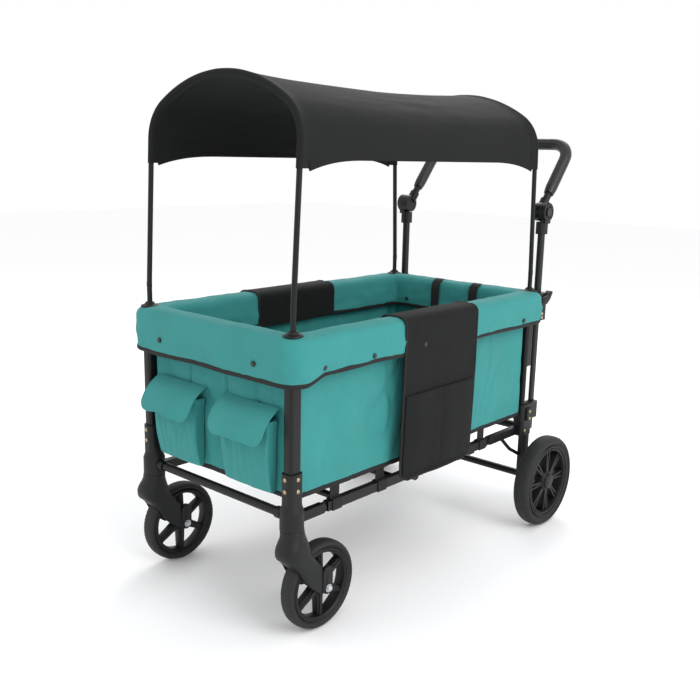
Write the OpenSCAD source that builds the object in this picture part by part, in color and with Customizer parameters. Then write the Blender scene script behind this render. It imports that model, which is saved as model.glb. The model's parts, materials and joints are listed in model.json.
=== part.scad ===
// Folding push wagon for children, with a canopy on two hoops.
// The wagon stands on the floor at z = 0, its front is at -X and its push handle at +X.
// Left is -Y and right is +Y, as seen by the person who pushes.

/* [Frame] */
// Front posts to rear posts, centre to centre
post_span = 910; // [760:10:1100]
// Left posts to right posts, centre to centre
post_gap = 477; // [400:1:580]
// Post section along the wagon
post_l = 32; // [28:1:40]
// Post section across the wagon
post_w = 26; // [22:1:32]
// Corner radius of the post section
post_r = 8; // [4:1:10]
// Wall of every frame tube
tube_wall = 1.6; // [1.2:0.1:2.5]
// Height of the rim tubes' centre line
rim_z = 625; // [520:5:720]
// Radius of the rim tubes
rim_tube_r = 11; // [9:0.5:13]
// Thickness of the foam sleeves on the rim rails
foam_t = 3; // [2:0.5:5]
// Height of the lower rails' centre line
rail_z = 265; // [250:1:330]
// Lower rail section, height
rail_h = 22; // [16:1:28]
// Lower rail section, width
rail_w = 16; // [12:1:18]

/* [Fold] */
// Rear post to the rear fold pins
rear_arm = 155; // [120:5:180]
// Front post to the front fold pins
front_arm = 95; // [80:5:120]
// Radius of the fold pins
pin_r = 4; // [3:0.5:5]
// Radial running clearance of every pin, shaft and slide
run_gap = 0.05; // [0.02:0.01:0.1]

/* [Wheels] */
// Radius of a front wheel
front_wheel_r = 100; // [80:1:115]
// Width of a front tyre
front_tyre_w = 38; // [28:1:46]
// Swivel axis to front wheel axle
caster_trail = 75; // [50:1:85]
// Radius of a rear wheel
rear_wheel_r = 127.5; // [100:0.5:150]
// Width of a rear tyre
rear_tyre_w = 48; // [36:1:56]
// Left rear wheel to right rear wheel, centre to centre
rear_track = 622; // [600:1:700]
// Radius of the wheel axle shafts
axle_r = 6; // [5:0.5:8]

/* [Handle] */
// Height of the handle's tilt hinges
handle_hinge_z = 875; // [820:5:950]
// Tilt hinges to the grip bar
handle_reach = 237; // [180:1:280]
// Lean of the handle bow above level, degrees
handle_lean = 50.5; // [40:0.5:60]
// Radius of the bare handle tube
handle_tube_r = 10; // [8:0.5:12]
// Radius over the padded grip
grip_r = 16; // [13:0.5:19]
// Left upright to right upright, centre to centre
handle_gap = 472; // [390:1:575]

/* [Canopy] */
// Top of the canopy hoops' centre line
hoop_top_z = 1178; // [1050:5:1300]
// Radius of the hoop tube
hoop_tube_r = 6; // [5:0.5:8]
// Bend radius of the hoop's shoulders
shoulder_r = 95; // [70:5:120]
// Radius of the hoop's top bow
bow_r = 360; // [330:5:500]
// Inward lean of the hoops, degrees
hoop_lean = 2.9; // [0:0.1:4]

/* [Fabric] */
// Bottom edge of the fabric walls
wall_low_z = 315; // [300:5:360]
// Depth of the rim cover on the sides
cover_drop = 78; // [60:1:100]
// Extra depth of the rim cover on the front
cover_front_extra = 16; // [0:1:25]
// Thickness of the fabric pieces
fabric_t = 2; // [1.5:0.5:3]
// Length of a side organiser along the rim
organiser_l = 282; // [200:2:340]
// Width of a front pocket flap
flap_w = 165; // [120:1:185]
// Length of a front pocket flap
flap_l = 90; // [70:1:100]

/* [Hidden] */
$fn = 48;

LEFT = -1;
RIGHT = 1;
SIDES = [LEFT, RIGHT];
BLACK = "#1b1c1e";
SATIN = "#26272a";
RUBBER = "#202022";
TEAL = "#3fa7a6";
CHARCOAL = "#232427";
BRASS = "#b59a5e";

// Clearances between pieces
seat_gap = 0.15;
soft_gap = 0.5;
hinge_gap = 0.3;
// A distance sideways, and a height, beyond every piece they cut
far_y = 400;
far_z = 800;

// Places along the wagon. The origin is under the middle of the whole object's box.
upright_back = 49;
flap_lean = 35;
flap_hinge_out = 3;
flap_out = flap_hinge_out + flap_l * sin(flap_lean);
handle_out = upright_back + handle_reach * cos(handle_lean) + grip_r;
mid_x = -round((handle_out - flap_out) / 2);
front_x = mid_x - post_span / 2;
rear_x = mid_x + post_span / 2;
rear_pin_x = rear_x - rear_arm;
front_pin_x = front_x + front_arm;
mid_pin_x = (rear_pin_x + front_pin_x) / 2;
link_l = rear_pin_x - mid_pin_x;

// Places across and up
post_y = post_gap / 2;
rail_y = post_y - post_w / 2 - 2.5 + rail_w / 2;
rim_y = post_y + 19.5;
mid_pin_low_z = rail_z - rail_h / 2;
mid_pin_top_z = rim_z + rim_tube_r;
casting_l = 48;
casting_in = 21.5;
cap_size = [44, 38];
cap_r = 14;
casting_out = rim_y - post_y + rim_tube_r + 0.5;
casting_low_z = rim_z - 23;
casting_top_z = rim_z + 30;
post_top_z = rim_z + 15;
cross_out = 12;

// Fold hinges
end_hinge_r = 11;
mid_hinge_r = 12;
end_clear = 16;
mid_clear = 14;

// Rim cover
cover_t = 3;
cover_out_x = front_x - 31;
cover_in = 32;
cover_out_r = 42;
cover_in_r = 14;
strap_y = [-79, 52];
strap_w = 25;
cover_w = 2 * (rim_y + rim_tube_r + foam_t + soft_gap + cover_t);
cover_top_z = casting_top_z + 2;
cover_low_z = cover_top_z - cover_drop - cover_t;
cover_in_y = post_y - casting_in - 8;
collar_r = 14;

// Side organisers
organiser_t = 3;
organiser_corner = 28;
pouch_in = 6;
pouch_out = 8;
pouch_top_z = rim_z - 150;

// Handle
upright_x = rear_x + upright_back;
upright_y = handle_gap / 2;
upright_l = 24;
upright_w = 15;
upright_r = upright_w / 2 - 0.5;
tilt_pin_r = 5;
knuckle_low = 60;
knuckle_seat = 40;
upright_low_z = rail_z - 8;
guide_low_z = 295;
guide_h = 46;
disc_r = 25;
disc_t = 17;
button_r = 12;
button_out = 4;
button_deep = 10;
bow_bend_r = 55;
grip_start = 62;
socket_start = 10;
socket_end = 40;
socket_r = 14;

// Canopy hoop
hoop_in_z = 480;
kink_z = casting_top_z + 57;
hoop_half = post_y;
shoulder_y = hoop_half - shoulder_r;
bow_z = hoop_top_z - bow_r;
bow_half_angle = asin(shoulder_y / (bow_r - shoulder_r));
shoulder_z = bow_z + (bow_r - shoulder_r) * cos(bow_half_angle);
canopy_low_z = 994;
canopy_hem = 13;
canopy_gap = 1;
bend_lap = 0.5;
ferrule_l = 12;
ferrule_t = 0.4;

// Front legs and casters
leg_wrap = 4;
housing_r = 26;
housing_low_z = 250;
housing_top_z = 300;
sleeve_top_z = 373;
stem_r = 8;
stem_top_z = 292;
front_wheel_x = front_x + caster_trail;
front_wheel_y = post_y + 5.5;
front_tyre_depth = 20;
front_crown = 24;
fork_gap = 3.5;
fork_t = 7;
front_axle_half = front_tyre_w / 2 + fork_gap + fork_t;

// Rear legs
leg_back = 21;
leg_l = 28;
leg_w = 24;
leg_r = 7;
leg_wall = tube_wall + 0.6;
bracket_half = 18;
bracket_low_z = 250;
rear_axle_x = rear_x + 17;
axle_tube_r = 10;
rivet_r = 4.8;
rivet_rim = 1.6;
rivet_dome = 1.3;
rear_wheel_y = rear_track / 2;
rear_tyre_depth = 27;
rear_crown = 32;
brace_r = 5;
brace_points = [[-91, 256], [-43, 215], [11, 186]];

// Front pockets, each under its own flap
pocket_centre = 118;
pocket_half = 74;
pocket_back = -1 - soft_gap;
flap_hinge_z = rim_z - 125;
flap_t = 3;
flap_corner = 22;
flap_roll_r = 1.8;

// Floor
board_t = 12;
board_low_z = rail_z + 39;
board_z = board_low_z + board_t;
board_half_w = 205;
mat_t = 12;
rear_overhang = 95;
front_overhang = 50;

// ---------- shared shapes ----------

module rounded_rect(size, r) {
    square([size.x, size.y - 2 * r], center = true);
    square([size.x - 2 * r, size.y], center = true);
    for (sx = SIDES, sy = SIDES)
        translate([sx * (size.x / 2 - r), sy * (size.y / 2 - r)]) circle(r);
}

module rounded_bar(size, r, low, high) {
    translate([0, 0, low]) linear_extrude(high - low) rounded_rect(size, r);
}

module rounded_tube(size, r, wall, low, high) {
    difference() {
        rounded_bar(size, r, low, high);
        rounded_bar([size.x - 2 * wall, size.y - 2 * wall], r - wall, low - 1, high + 1);
    }
}

// Round bar or tube along X from x0 to x1
module x_bar(x0, x1, r) {
    translate([x0, 0, 0]) rotate([0, 90, 0]) cylinder(h = x1 - x0, r = r);
}

module x_tube(x0, x1, r, wall) {
    difference() {
        x_bar(x0, x1, r);
        x_bar(x0 - 1, x1 + 1, r - wall);
    }
}

// Round bar along Y from y0 to y1
module y_bar(y0, y1, r) {
    translate([0, y0, 0]) rotate([-90, 0, 0]) cylinder(h = y1 - y0, r = r);
}

module y_tube(y0, y1, r, wall) {
    difference() {
        y_bar(y0, y1, r);
        y_bar(y0 - 1, y1 + 1, r - wall);
    }
}

module box(low, high) {
    translate(low) cube(high - low);
}

// A box that reaches from x0 to x1 whichever is the lower
module span_box(x0, x1, y_half, z0, z1) {
    box([min(x0, x1), -y_half, z0], [max(x0, x1), y_half, z1]);
}

// A plate in the XZ plane, thick along Y about y = 0
module xz_plate(thick) {
    translate([0, thick / 2, 0]) rotate([90, 0, 0]) linear_extrude(thick) children();
}

// ---------- fold hinges ----------

// Rectangular rail tube along X
module rail_tube(x0, x1) {
    difference() {
        span_box(x0, x1, rail_w / 2, -rail_h / 2, rail_h / 2);
        span_box(x0 - 1, x1 + 1, rail_w / 2 - tube_wall, -rail_h / 2 + tube_wall, rail_h / 2 - tube_wall);
    }
}

// The eye of a hinge: a disc on the pin and a block that runs to its own rail
module hinge_eye(dir, r, reach, z0, z1, thick) {
    y_bar(-thick / 2, thick / 2, r);
    span_box(0, dir * reach, thick / 2, z0, z1);
}

// The single leaf, bored for the pin
module hinge_leaf(dir, r, reach, z0, z1, thick) {
    difference() {
        hinge_eye(dir, r, reach, z0, z1, thick);
        y_bar(-thick, thick, pin_r + run_gap);
    }
}

// The forked leaf with its pin
module hinge_fork(dir, r, reach, clear, z0, z1, width, thick) {
    slot = thick / 2 + hinge_gap;
    difference() {
        hinge_eye(dir, r, reach, z0, z1, width);
        span_box(-dir * (r + 1), dir * (clear - 1), slot, -2 * r - 10, 2 * r + 10);
    }
    y_bar(-width / 2, width / 2, pin_r);
}

rail_cheek = 5;
rim_cheek = 5.5;
rim_eye = rim_tube_r - 3;
plug_l = 14;
rail_leaf = rail_w - 2 * rail_cheek;
rim_leaf = 2 * rim_tube_r - 2 * rim_cheek;
end_reach = end_clear + plug_l;
mid_reach = mid_clear + plug_l;

// One lower half rail from its frame pin to the middle pin, dir points to the middle
module lower_link(pin_x, dir, fork) {
    far = dir * link_l;
    drop = mid_pin_low_z - rail_z;
    translate([pin_x, 0, rail_z]) {
        hinge_leaf(dir, end_hinge_r, end_reach, -rail_h / 2, rail_h / 2, rail_leaf);
        rail_tube(min(dir * end_clear, far - dir * mid_clear), max(dir * end_clear, far - dir * mid_clear));
        translate([far, 0, drop])
            if (fork) hinge_fork(-dir, mid_hinge_r, mid_reach, mid_clear, 0, rail_h, rail_w, rail_leaf);
            else hinge_leaf(-dir, mid_hinge_r, mid_reach, 0, rail_h, rail_leaf);
    }
}

// One rim half rail, hinged the same way but with its middle pin along the top
module rim_link(pin_x, dir, fork) {
    far = dir * link_l;
    translate([pin_x, 0, rim_z]) {
        hinge_leaf(dir, end_hinge_r, end_reach, -rim_eye, rim_eye, rim_leaf);
        x_tube(min(dir * end_clear, far - dir * mid_clear), max(dir * end_clear, far - dir * mid_clear),
            rim_tube_r, tube_wall);
        translate([far, 0, rim_tube_r])
            if (fork)
                hinge_fork(-dir, mid_hinge_r, mid_reach, mid_clear, -rim_tube_r - rim_eye, 0,
                    2 * rim_tube_r, rim_leaf);
            else hinge_leaf(-dir, mid_hinge_r, mid_reach, -rim_tube_r - rim_eye, 0, rim_leaf);
    }
}

// Fixed arms that carry the frame pins
module lower_arm(pin_x, dir, end_x) {
    translate([pin_x, 0, rail_z]) {
        hinge_fork(dir, end_hinge_r, end_reach, end_clear, -rail_h / 2, rail_h / 2, rail_w, rail_leaf);
        rail_tube(min(dir * end_clear, end_x - pin_x), max(dir * end_clear, end_x - pin_x));
    }
}

module rim_arm(pin_x, dir, end_x) {
    translate([pin_x, 0, rim_z]) {
        hinge_fork(dir, end_hinge_r, end_reach, end_clear, -rim_eye, rim_eye, 2 * rim_tube_r, rim_leaf);
        x_tube(min(dir * end_clear, end_x - pin_x), max(dir * end_clear, end_x - pin_x), rim_tube_r, tube_wall);
    }
}

// ---------- rear frame ----------

module rear_posts() {
    color(SATIN) for (s = SIDES)
        translate([rear_x, s * post_y, 0])
            rounded_tube([post_l, post_w], post_r, tube_wall, bracket_low_z, post_top_z);
}

module post_hole(low, high) {
    rounded_bar([post_l + 2 * seat_gap, post_w + 2 * seat_gap], post_r + seat_gap, low, high);
}

module upright_hole(low, high) {
    translate([upright_back, 0, 0])
        rounded_bar([upright_l + 2 * run_gap, upright_w + 2 * run_gap], upright_r + run_gap, low, high);
}

// Leg tubes, each with the bracket that clamps it to its post
module rear_legs() {
    color(BLACK) for (s = SIDES) translate([rear_x, s * post_y, 0]) difference() {
        union() {
            translate([leg_back, 0, 0])
                rounded_tube([leg_l, leg_w], leg_r, leg_wall, rear_wheel_r - 17, bracket_low_z + 12);
            translate([7, 0, 0])
                rounded_bar([2 * bracket_half + 14, post_w + 8], 9, bracket_low_z, guide_low_z - seat_gap);
        }
        post_hole(bracket_low_z, guide_low_z + 1);
        translate([rear_axle_x - rear_x, 0, rear_wheel_r])
            y_bar(-leg_w, leg_w, axle_tube_r + seat_gap);
    }
}

// Lower slide guides of the push handle, with the outer clip
module handle_guides() {
    offset_y = upright_y - post_y;
    color(BLACK) for (s = SIDES) translate([rear_x, s * post_y, 0]) difference() {
        union() {
            translate([20.5, 0, 0])
                rounded_bar([2 * bracket_half + 47, post_w + 9], 10, guide_low_z, guide_low_z + guide_h);
            translate([4, s * (post_w / 2 + 7), 0]) rounded_bar([22, 8], 3, guide_low_z, guide_low_z + 35);
        }
        post_hole(guide_low_z - 1, guide_low_z + guide_h + 1);
        translate([0, s * offset_y, 0]) upright_hole(guide_low_z - 1, guide_low_z + guide_h + 1);
    }
}

// Corner casting in post coordinates: takes the post from below, the hoop from above and two rim tubes
module casting_block(s, dir) {
    out = casting_out;
    translate([0, s * (out - casting_in) / 2, 0])
        rounded_bar([casting_l, casting_in + out], 12, casting_low_z, casting_top_z - 5);
    rounded_bar(cap_size, cap_r, casting_top_z - 6, casting_top_z + 1);
    cylinder(h = casting_top_z + 6, r = collar_r - 3);
    translate([dir * cross_out, s * -casting_in, rim_z]) y_bar(-1, 1, rim_tube_r);
}

module casting_cuts(s) {
    post_hole(0, post_top_z + seat_gap);
    translate([0, 0, hoop_in_z]) cylinder(h = 300, r = hoop_tube_r + run_gap);
}

module rear_castings() {
    offset_y = upright_y - post_y;
    color(BLACK) for (s = SIDES) translate([rear_x, s * post_y, 0]) difference() {
        union() {
            casting_block(s, 1);
            translate([upright_back / 2 + 4, s * offset_y / 2, 0])
                rounded_bar([upright_back + 46, post_w + 10], 12, rim_z - 49, casting_top_z - 3);
        }
        casting_cuts(s);
        translate([0, s * offset_y, 0]) upright_hole(0, 900);
    }
}

module hinge_arms_rear() {
    color(SATIN) for (s = SIDES) {
        translate([0, s * rail_y, 0]) lower_arm(rear_pin_x, 1, rear_x - bracket_half);
        translate([0, s * rim_y, 0]) rim_arm(rear_pin_x, 1, rear_x - casting_l / 2);
    }
}

module cross_tubes_rear() {
    color(SATIN) {
        translate([rear_x + cross_out, 0, rim_z])
            y_tube(-post_y + casting_in + 1, post_y - casting_in - 1, rim_tube_r, tube_wall);
        translate([rear_x, 0, rail_z + 8])
            y_tube(-post_y + post_w / 2 + 4, post_y - post_w / 2 - 4, rim_tube_r, tube_wall);
    }
}

module rear_axle() {
    half = rear_wheel_y + rear_tyre_w / 2 - 3.5;
    collar = post_y + leg_w / 2;
    color(SATIN) translate([rear_axle_x, 0, rear_wheel_r]) {
        y_bar(-collar - 6, collar + 6, axle_tube_r);
        y_bar(-half, half, axle_r);
        for (s = SIDES) translate([0, s * (collar + 3.2), 0]) y_bar(-3, 3, axle_tube_r + 4);
        for (s = SIDES) translate([0, s * (half - 1.5), 0]) y_bar(-1.5, 1.5, axle_r + 5);
    }
}

// Braces between the lower arms and the legs, each bent once
module leg_braces() {
    lap = 1;
    color(BLACK) for (s = SIDES) translate([rear_x, s * (rail_y + 1), 0]) difference() {
        for (i = [0 : len(brace_points) - 2]) {
            a = brace_points[i];
            d = brace_points[i + 1] - a;
            translate([a.x, 0, a.y]) rotate([0, atan2(d.x, d.y), 0])
                translate([0, 0, -lap]) cylinder(h = norm(d) + 2 * lap, r = brace_r);
        }
        box([-200, -20, rail_z - rail_h / 2], [0, 20, rail_z + rail_h / 2]);
        translate([leg_back, -s, 0]) rounded_bar([leg_l, leg_w], leg_r, 100, 300);
    }
}

module rear_panel() {
    half = post_y - post_w / 2 - 7;
    color(TEAL) box([rear_x - 1, -half, wall_low_z], [rear_x - 1 + fabric_t, half, casting_low_z - 2]);
}

// Rim cover: a channel that hangs over the rim tubes, as a closed ring in plan
module cover_plan(inset) {
    rounded_rect([2 * (mid_x - cover_out_x - inset), cover_w - 2 * inset], cover_out_r - inset);
}

module cover_ring() {
    inner_l = 2 * (mid_x - front_x - cover_in);
    inner_w = 2 * cover_in_y;
    translate([mid_x, 0, 0]) difference() {
        translate([0, 0, cover_low_z - cover_front_extra])
            linear_extrude(cover_top_z + cover_t - cover_low_z + cover_front_extra) cover_plan(0);
        translate([0, 0, cover_low_z - 50]) linear_extrude(cover_top_z - cover_low_z + 50) difference() {
            cover_plan(cover_t);
            rounded_rect([inner_l + 2 * cover_t, inner_w + 2 * cover_t], cover_in_r + cover_t);
        }
        translate([0, 0, cover_low_z - 50]) linear_extrude(200) rounded_rect([inner_l, inner_w], cover_in_r);
        translate([0, 0, cover_low_z - 50]) linear_extrude(50)
            square([post_span - 40, 3 * cover_w], center = true);
        for (sx = SIDES, sy = SIDES)
            translate([sx * post_span / 2, sy * post_y, cover_top_z - 1])
                linear_extrude(20) rounded_rect([cap_size.x + 2 * soft_gap, cap_size.y + 2 * soft_gap], cap_r + soft_gap);
    }
}

module rim_cover_rear() {
    color(TEAL) difference() {
        intersection() {
            cover_ring();
            box([rear_pin_x + 2, -far_y, 0], [rear_x + 200, far_y, far_z]);
        }
        // Open above the rear castings
        for (s = SIDES) translate([0, s * far_y, 0])
            box([rear_x - casting_l / 2 - soft_gap, -far_y + cover_in_y + 7, 0],
                [rear_x + 200, far_y - cover_in_y - 7, far_z]);
    }
}

module rim_cover_front() {
    color(TEAL) intersection() {
        cover_ring();
        box([front_x - 200, -far_y, 0], [front_pin_x - 2, far_y, far_z]);
    }
}

module rim_cover_side(s) {
    color(TEAL) intersection() {
        cover_ring();
        box([front_pin_x, s < 0 ? -far_y : 0, 0], [rear_pin_x, s < 0 ? 0 : far_y, far_z]);
    }
}

module rear_straps() {
    x = rear_x - cover_in - fabric_t - soft_gap;
    color(CHARCOAL) for (y = strap_y)
        box([x, y - strap_w / 2, cover_low_z + 4], [x + fabric_t, y + strap_w / 2, cover_top_z]);
}

module rivet(r) {
    cylinder(h = rivet_rim, r = r);
    translate([0, 0, rivet_rim - 0.1]) cylinder(h = rivet_dome, r1 = r, r2 = r - rivet_rim);
}

module rivets_rear() {
    face = post_y + post_w / 2;
    color(BRASS) for (s = SIDES) translate([rear_x, 0, 0]) {
        for (z = [rim_z - 41, rim_z - 30]) translate([upright_back - 2, s * (face + 4), z])
            rotate([-s * 90, 0, 0]) rivet(rivet_r);
        for (z = [guide_low_z + 6, guide_low_z + 26]) translate([4, s * (face + 11), z])
            rotate([-s * 90, 0, 0]) rivet(rivet_r);
        translate([-6, s * (face + 4), bracket_low_z + 15]) rotate([-s * 90, 0, 0]) rivet(rivet_r + 0.5);
    }
}

module brake_pedal() {
    color(BLACK) translate([rear_axle_x, 0, rear_wheel_r]) difference() {
        union() {
            y_bar(-24, 24, axle_tube_r + 5);
            translate([40, 0, -4]) rounded_bar([64, 74], 12, 0, 9);
        }
        y_bar(-60, 60, axle_tube_r + run_gap);
    }
}

// ---------- fabric walls ----------

module side_panel(s) {
    color(TEAL) translate([0, s * (post_y + 1.5), 0])
        box([front_x + post_l / 2 + leg_wrap + 2, -fabric_t / 2, wall_low_z],
            [rear_x - bracket_half - 6, fabric_t / 2, casting_low_z - 2]);
}

// Organiser hung over the rim: outer sheet with a pouch, top strap and inner sheet
module organiser(s) {
    out = cover_w / 2 + soft_gap;
    in = cover_in_y - soft_gap;
    top = cover_top_z + cover_t + soft_gap;
    low = rail_z + 10;
    t = organiser_t;
    notch = organiser_corner;
    x0 = mid_pin_x + 30 - organiser_l / 2;
    color(CHARCOAL) translate([x0, 0, 0]) {
        mirror([0, s < 0 ? 1 : 0, 0]) {
            box([0, out, low + notch], [organiser_l, out + t, top + t]);
            box([notch, out, low], [organiser_l - notch, out + t, low + notch + 2]);
            for (x = [notch, organiser_l - notch]) translate([x, 0, low + notch]) y_bar(out, out + t, notch);
            box([pouch_in, out + t - 0.1, low + 16], [organiser_l - pouch_in, out + t + pouch_out, pouch_top_z]);
            box([0, in - t, top], [organiser_l, out + t, top + t]);
            box([0, in - t, cover_low_z], [organiser_l, in, top + t]);
        }
    }
}

module floor_mat() {
    color(TEAL) box([front_x + 8, -board_half_w - 8, board_z + soft_gap],
        [rear_x - 8, board_half_w + 8, board_z + soft_gap + mat_t]);
}

// ---------- folding rails ----------

// Cross bars with pegs that hold a floor board, at distances from the frame pin
module board_bearers(pin_x, dir) {
    for (d = [70, link_l - 70]) translate([pin_x + dir * d, 0, rail_z]) {
        y_tube(-rail_y + rail_w / 2, rail_y - rail_w / 2, 8, tube_wall);
        for (y = [-150, 0, 150]) translate([0, y, 0]) cylinder(h = board_low_z - rail_z, r = 7);
    }
}

module lower_rails_rear() {
    color(SATIN) {
        for (s = SIDES) translate([0, s * rail_y, 0]) lower_link(rear_pin_x, -1, true);
        board_bearers(rear_pin_x, -1);
    }
}

module lower_rails_front() {
    color(SATIN) {
        for (s = SIDES) translate([0, s * rail_y, 0]) lower_link(front_pin_x, 1, false);
        board_bearers(front_pin_x, 1);
    }
}

module floor_board(x0, x1) {
    color(CHARCOAL) translate([(x0 + x1) / 2, 0, 0])
        rounded_bar([x1 - x0, 2 * board_half_w], 10, board_low_z, board_z);
}

module webbing_loop(x) {
    w = 30;
    t = 1.5;
    g = 0.4;
    for (s = SIDES) translate([x, s * rail_y, rail_z]) {
        difference() {
            box([-w / 2, -rail_w / 2 - g - t, -rail_h / 2 - g - t], [w / 2, rail_w / 2 + g + t, rail_h / 2 + g + t]);
            box([-w, -rail_w / 2 - g, -rail_h / 2 - g], [w, rail_w / 2 + g, rail_h / 2 + g]);
        }
        box([-w / 2, -t / 2, rail_h / 2 + g + t - 0.1], [w / 2, t / 2, wall_low_z - rail_z - 1]);
    }
}

module webbing_loops_rear() {
    color(CHARCOAL) for (d = [link_l - 120, 40]) webbing_loop(rear_pin_x - d);
}

module webbing_loops_front() {
    color(CHARCOAL) for (d = [44, 199]) webbing_loop(front_pin_x + d);
}

module top_rails_rear() {
    color(SATIN) for (s = SIDES) translate([0, s * rim_y, 0]) rim_link(rear_pin_x, -1, true);
}

module top_rails_front() {
    color(SATIN) for (s = SIDES) translate([0, s * rim_y, 0]) rim_link(front_pin_x, 1, false);
}

module rail_foam(x0, x1) {
    color(CHARCOAL) for (s = SIDES) translate([0, s * rim_y, rim_z])
        x_tube(x0, x1, rim_tube_r + foam_t, foam_t - seat_gap);
}

// ---------- front frame ----------

module front_posts() {
    color(SATIN) for (s = SIDES) translate([front_x, s * post_y, 0])
        rounded_tube([post_l, post_w], post_r, tube_wall, housing_top_z, post_top_z);
}

// Leg sleeves with the swivel housings of the casters
module front_legs() {
    color(BLACK) for (s = SIDES) translate([front_x, s * post_y, 0]) difference() {
        union() {
            rounded_bar([post_l + 2 * leg_wrap, post_w + 2 * leg_wrap], post_r + leg_wrap,
                housing_top_z - 20, sleeve_top_z);
            translate([0, 0, housing_low_z]) cylinder(h = 40, r = housing_r);
            translate([0, 0, housing_low_z + 40]) cylinder(h = 25, r1 = housing_r, r2 = 17);
        }
        post_hole(housing_top_z - seat_gap, sleeve_top_z + 1);
        translate([0, 0, housing_low_z - 1]) cylinder(h = stem_top_z - housing_low_z + 2, r = stem_r + run_gap);
    }
}

module front_castings() {
    color(BLACK) intersection() {
        for (s = SIDES) translate([front_x, s * post_y, 0]) difference() {
            casting_block(s, -1);
            casting_cuts(s);
        }
        translate([mid_x, 0, casting_low_z - 1]) linear_extrude(100) cover_plan(cover_t + soft_gap);
    }
}

module hinge_arms_front() {
    color(SATIN) for (s = SIDES) {
        difference() {
            translate([0, s * rail_y, 0]) lower_arm(front_pin_x, -1, front_x);
            translate([front_x, s * post_y, 0]) cylinder(h = 400, r = housing_r + seat_gap);
        }
        translate([0, s * rim_y, 0]) rim_arm(front_pin_x, -1, front_x + casting_l / 2);
    }
}

module cross_tubes_front() {
    low_half = post_y - housing_r;
    color(SATIN) {
        translate([front_x - cross_out, 0, rim_z])
            y_tube(-post_y + casting_in + 1, post_y - casting_in - 1, rim_tube_r, tube_wall);
        translate([front_x, 0, rail_z + 10]) {
            y_tube(-low_half, low_half, 10, tube_wall);
            for (s = SIDES) translate([0, s * (low_half - 9), 0]) y_tube(-8, 8, 13, 3);
        }
    }
}

module front_panel() {
    half = post_y - post_w / 2 - leg_wrap - 1.5;
    color(TEAL) box([front_x - 1, -half, wall_low_z], [front_x - 1 + fabric_t, half, casting_low_z - 2]);
}

module pocket_profile(inset) {
    polygon([
        [pocket_back - inset, wall_low_z + 7 + inset], [-32 + inset, wall_low_z + 9 + inset],
        [-40 + inset, wall_low_z + 30], [-38 + inset, flap_hinge_z - (inset > 0 ? 30 : 66)],
        [pocket_back - inset, flap_hinge_z + (inset > 0 ? 20 : -18)]
    ]);
}

// Two open-topped pouches sewn to the front panel
module front_pockets() {
    color(TEAL) for (s = SIDES) translate([front_x, s * pocket_centre, 0]) difference() {
        xz_plate(2 * pocket_half) pocket_profile(0);
        xz_plate(2 * pocket_half - 2 * fabric_t) pocket_profile(fabric_t);
    }
}

module flap(s) {
    t = flap_t;
    r = flap_corner;
    color(TEAL) translate([front_x - flap_hinge_out, s * pocket_centre, flap_hinge_z]) rotate([0, flap_lean, 0]) {
        y_bar(-flap_w / 2, flap_w / 2, flap_roll_r);
        box([-t / 2, -flap_w / 2, -flap_l + r], [t / 2, flap_w / 2, 0]);
        box([-t / 2, -flap_w / 2 + r, -flap_l], [t / 2, flap_w / 2 - r, -flap_l + r + 1]);
        for (sy = SIDES) translate([0, sy * (flap_w / 2 - r), -flap_l + r])
            rotate([0, 90, 0]) cylinder(h = t, r = r, center = true);
    }
}

module rivets_front() {
    face = post_y + post_w / 2 + leg_wrap;
    color(BRASS) for (s = SIDES) translate([front_x, 0, 0]) {
        for (z = [336, 362]) translate([0, s * face, z]) rotate([-s * 90, 0, 0]) rivet(rivet_r);
        for (z = [336, 362]) translate([-post_l / 2 - leg_wrap, s * post_y, z]) rotate([0, -90, 0]) rivet(rivet_r);
    }
}

// ---------- casters and wheels ----------

// Side outline of a fork leg, from the swivel axis to the axle
module fork_outline() {
    w = 20;
    polygon([[-housing_r, 248], [housing_r - 2, 248], [46, 226], [caster_trail + w, front_wheel_r + 34],
        [caster_trail + w, front_wheel_r], [caster_trail - w, front_wheel_r],
        [caster_trail - w, front_wheel_r + 40], [-2, 196], [-housing_r, 218]]);
    translate([caster_trail, front_wheel_r]) circle(w);
}

module caster_fork(s) {
    half = front_tyre_w / 2 + fork_gap;
    shift = front_wheel_y - post_y;
    color(BLACK) translate([front_x, s * post_y, 0]) {
        translate([0, 0, 240]) cylinder(h = stem_top_z - 240, r = stem_r);
        translate([0, s * shift, 0]) {
            difference() {
                xz_plate(2 * half + 2 * fork_t) fork_outline();
                translate([caster_trail, 0, front_wheel_r]) y_bar(-half, half, front_wheel_r + 5);
                box([caster_trail - 24, -half, 0], [caster_trail + 60, half, front_wheel_r + 80]);
            }
            translate([caster_trail, 0, front_wheel_r]) {
                y_bar(-front_axle_half - 2, front_axle_half + 2, axle_r);
                for (sy = SIDES) translate([0, sy * (half + fork_t), 0]) y_bar(-1, 3, axle_r + 3);
            }
        }
    }
}

// Wheel shapes are drawn about the Y axis with their middle at y = 0
module tyre(r, w, depth, crown) {
    rotate([90, 0, 0]) rotate_extrude() intersection() {
        translate([r - depth, -w / 2]) square([depth, w]);
        translate([r - crown, 0]) circle(crown);
    }
}

module wheel(r, w, hub_r, hub_w, spokes, spoke_w, spoke_t) {
    lip = 12;
    difference() {
        union() {
            difference() {
                y_bar(-w / 2, w / 2, r - seat_gap);
                y_bar(-w, w, r - lip);
            }
            y_bar(-hub_w / 2, hub_w / 2, hub_r);
            for (i = [0 : spokes - 1]) rotate([0, i * 360 / spokes, 0])
                box([hub_r - 4, -spoke_t / 2, -spoke_w / 2], [r - lip / 2, spoke_t / 2, spoke_w / 2]);
        }
        y_bar(-w, w, axle_r + run_gap);
    }
}

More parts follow.
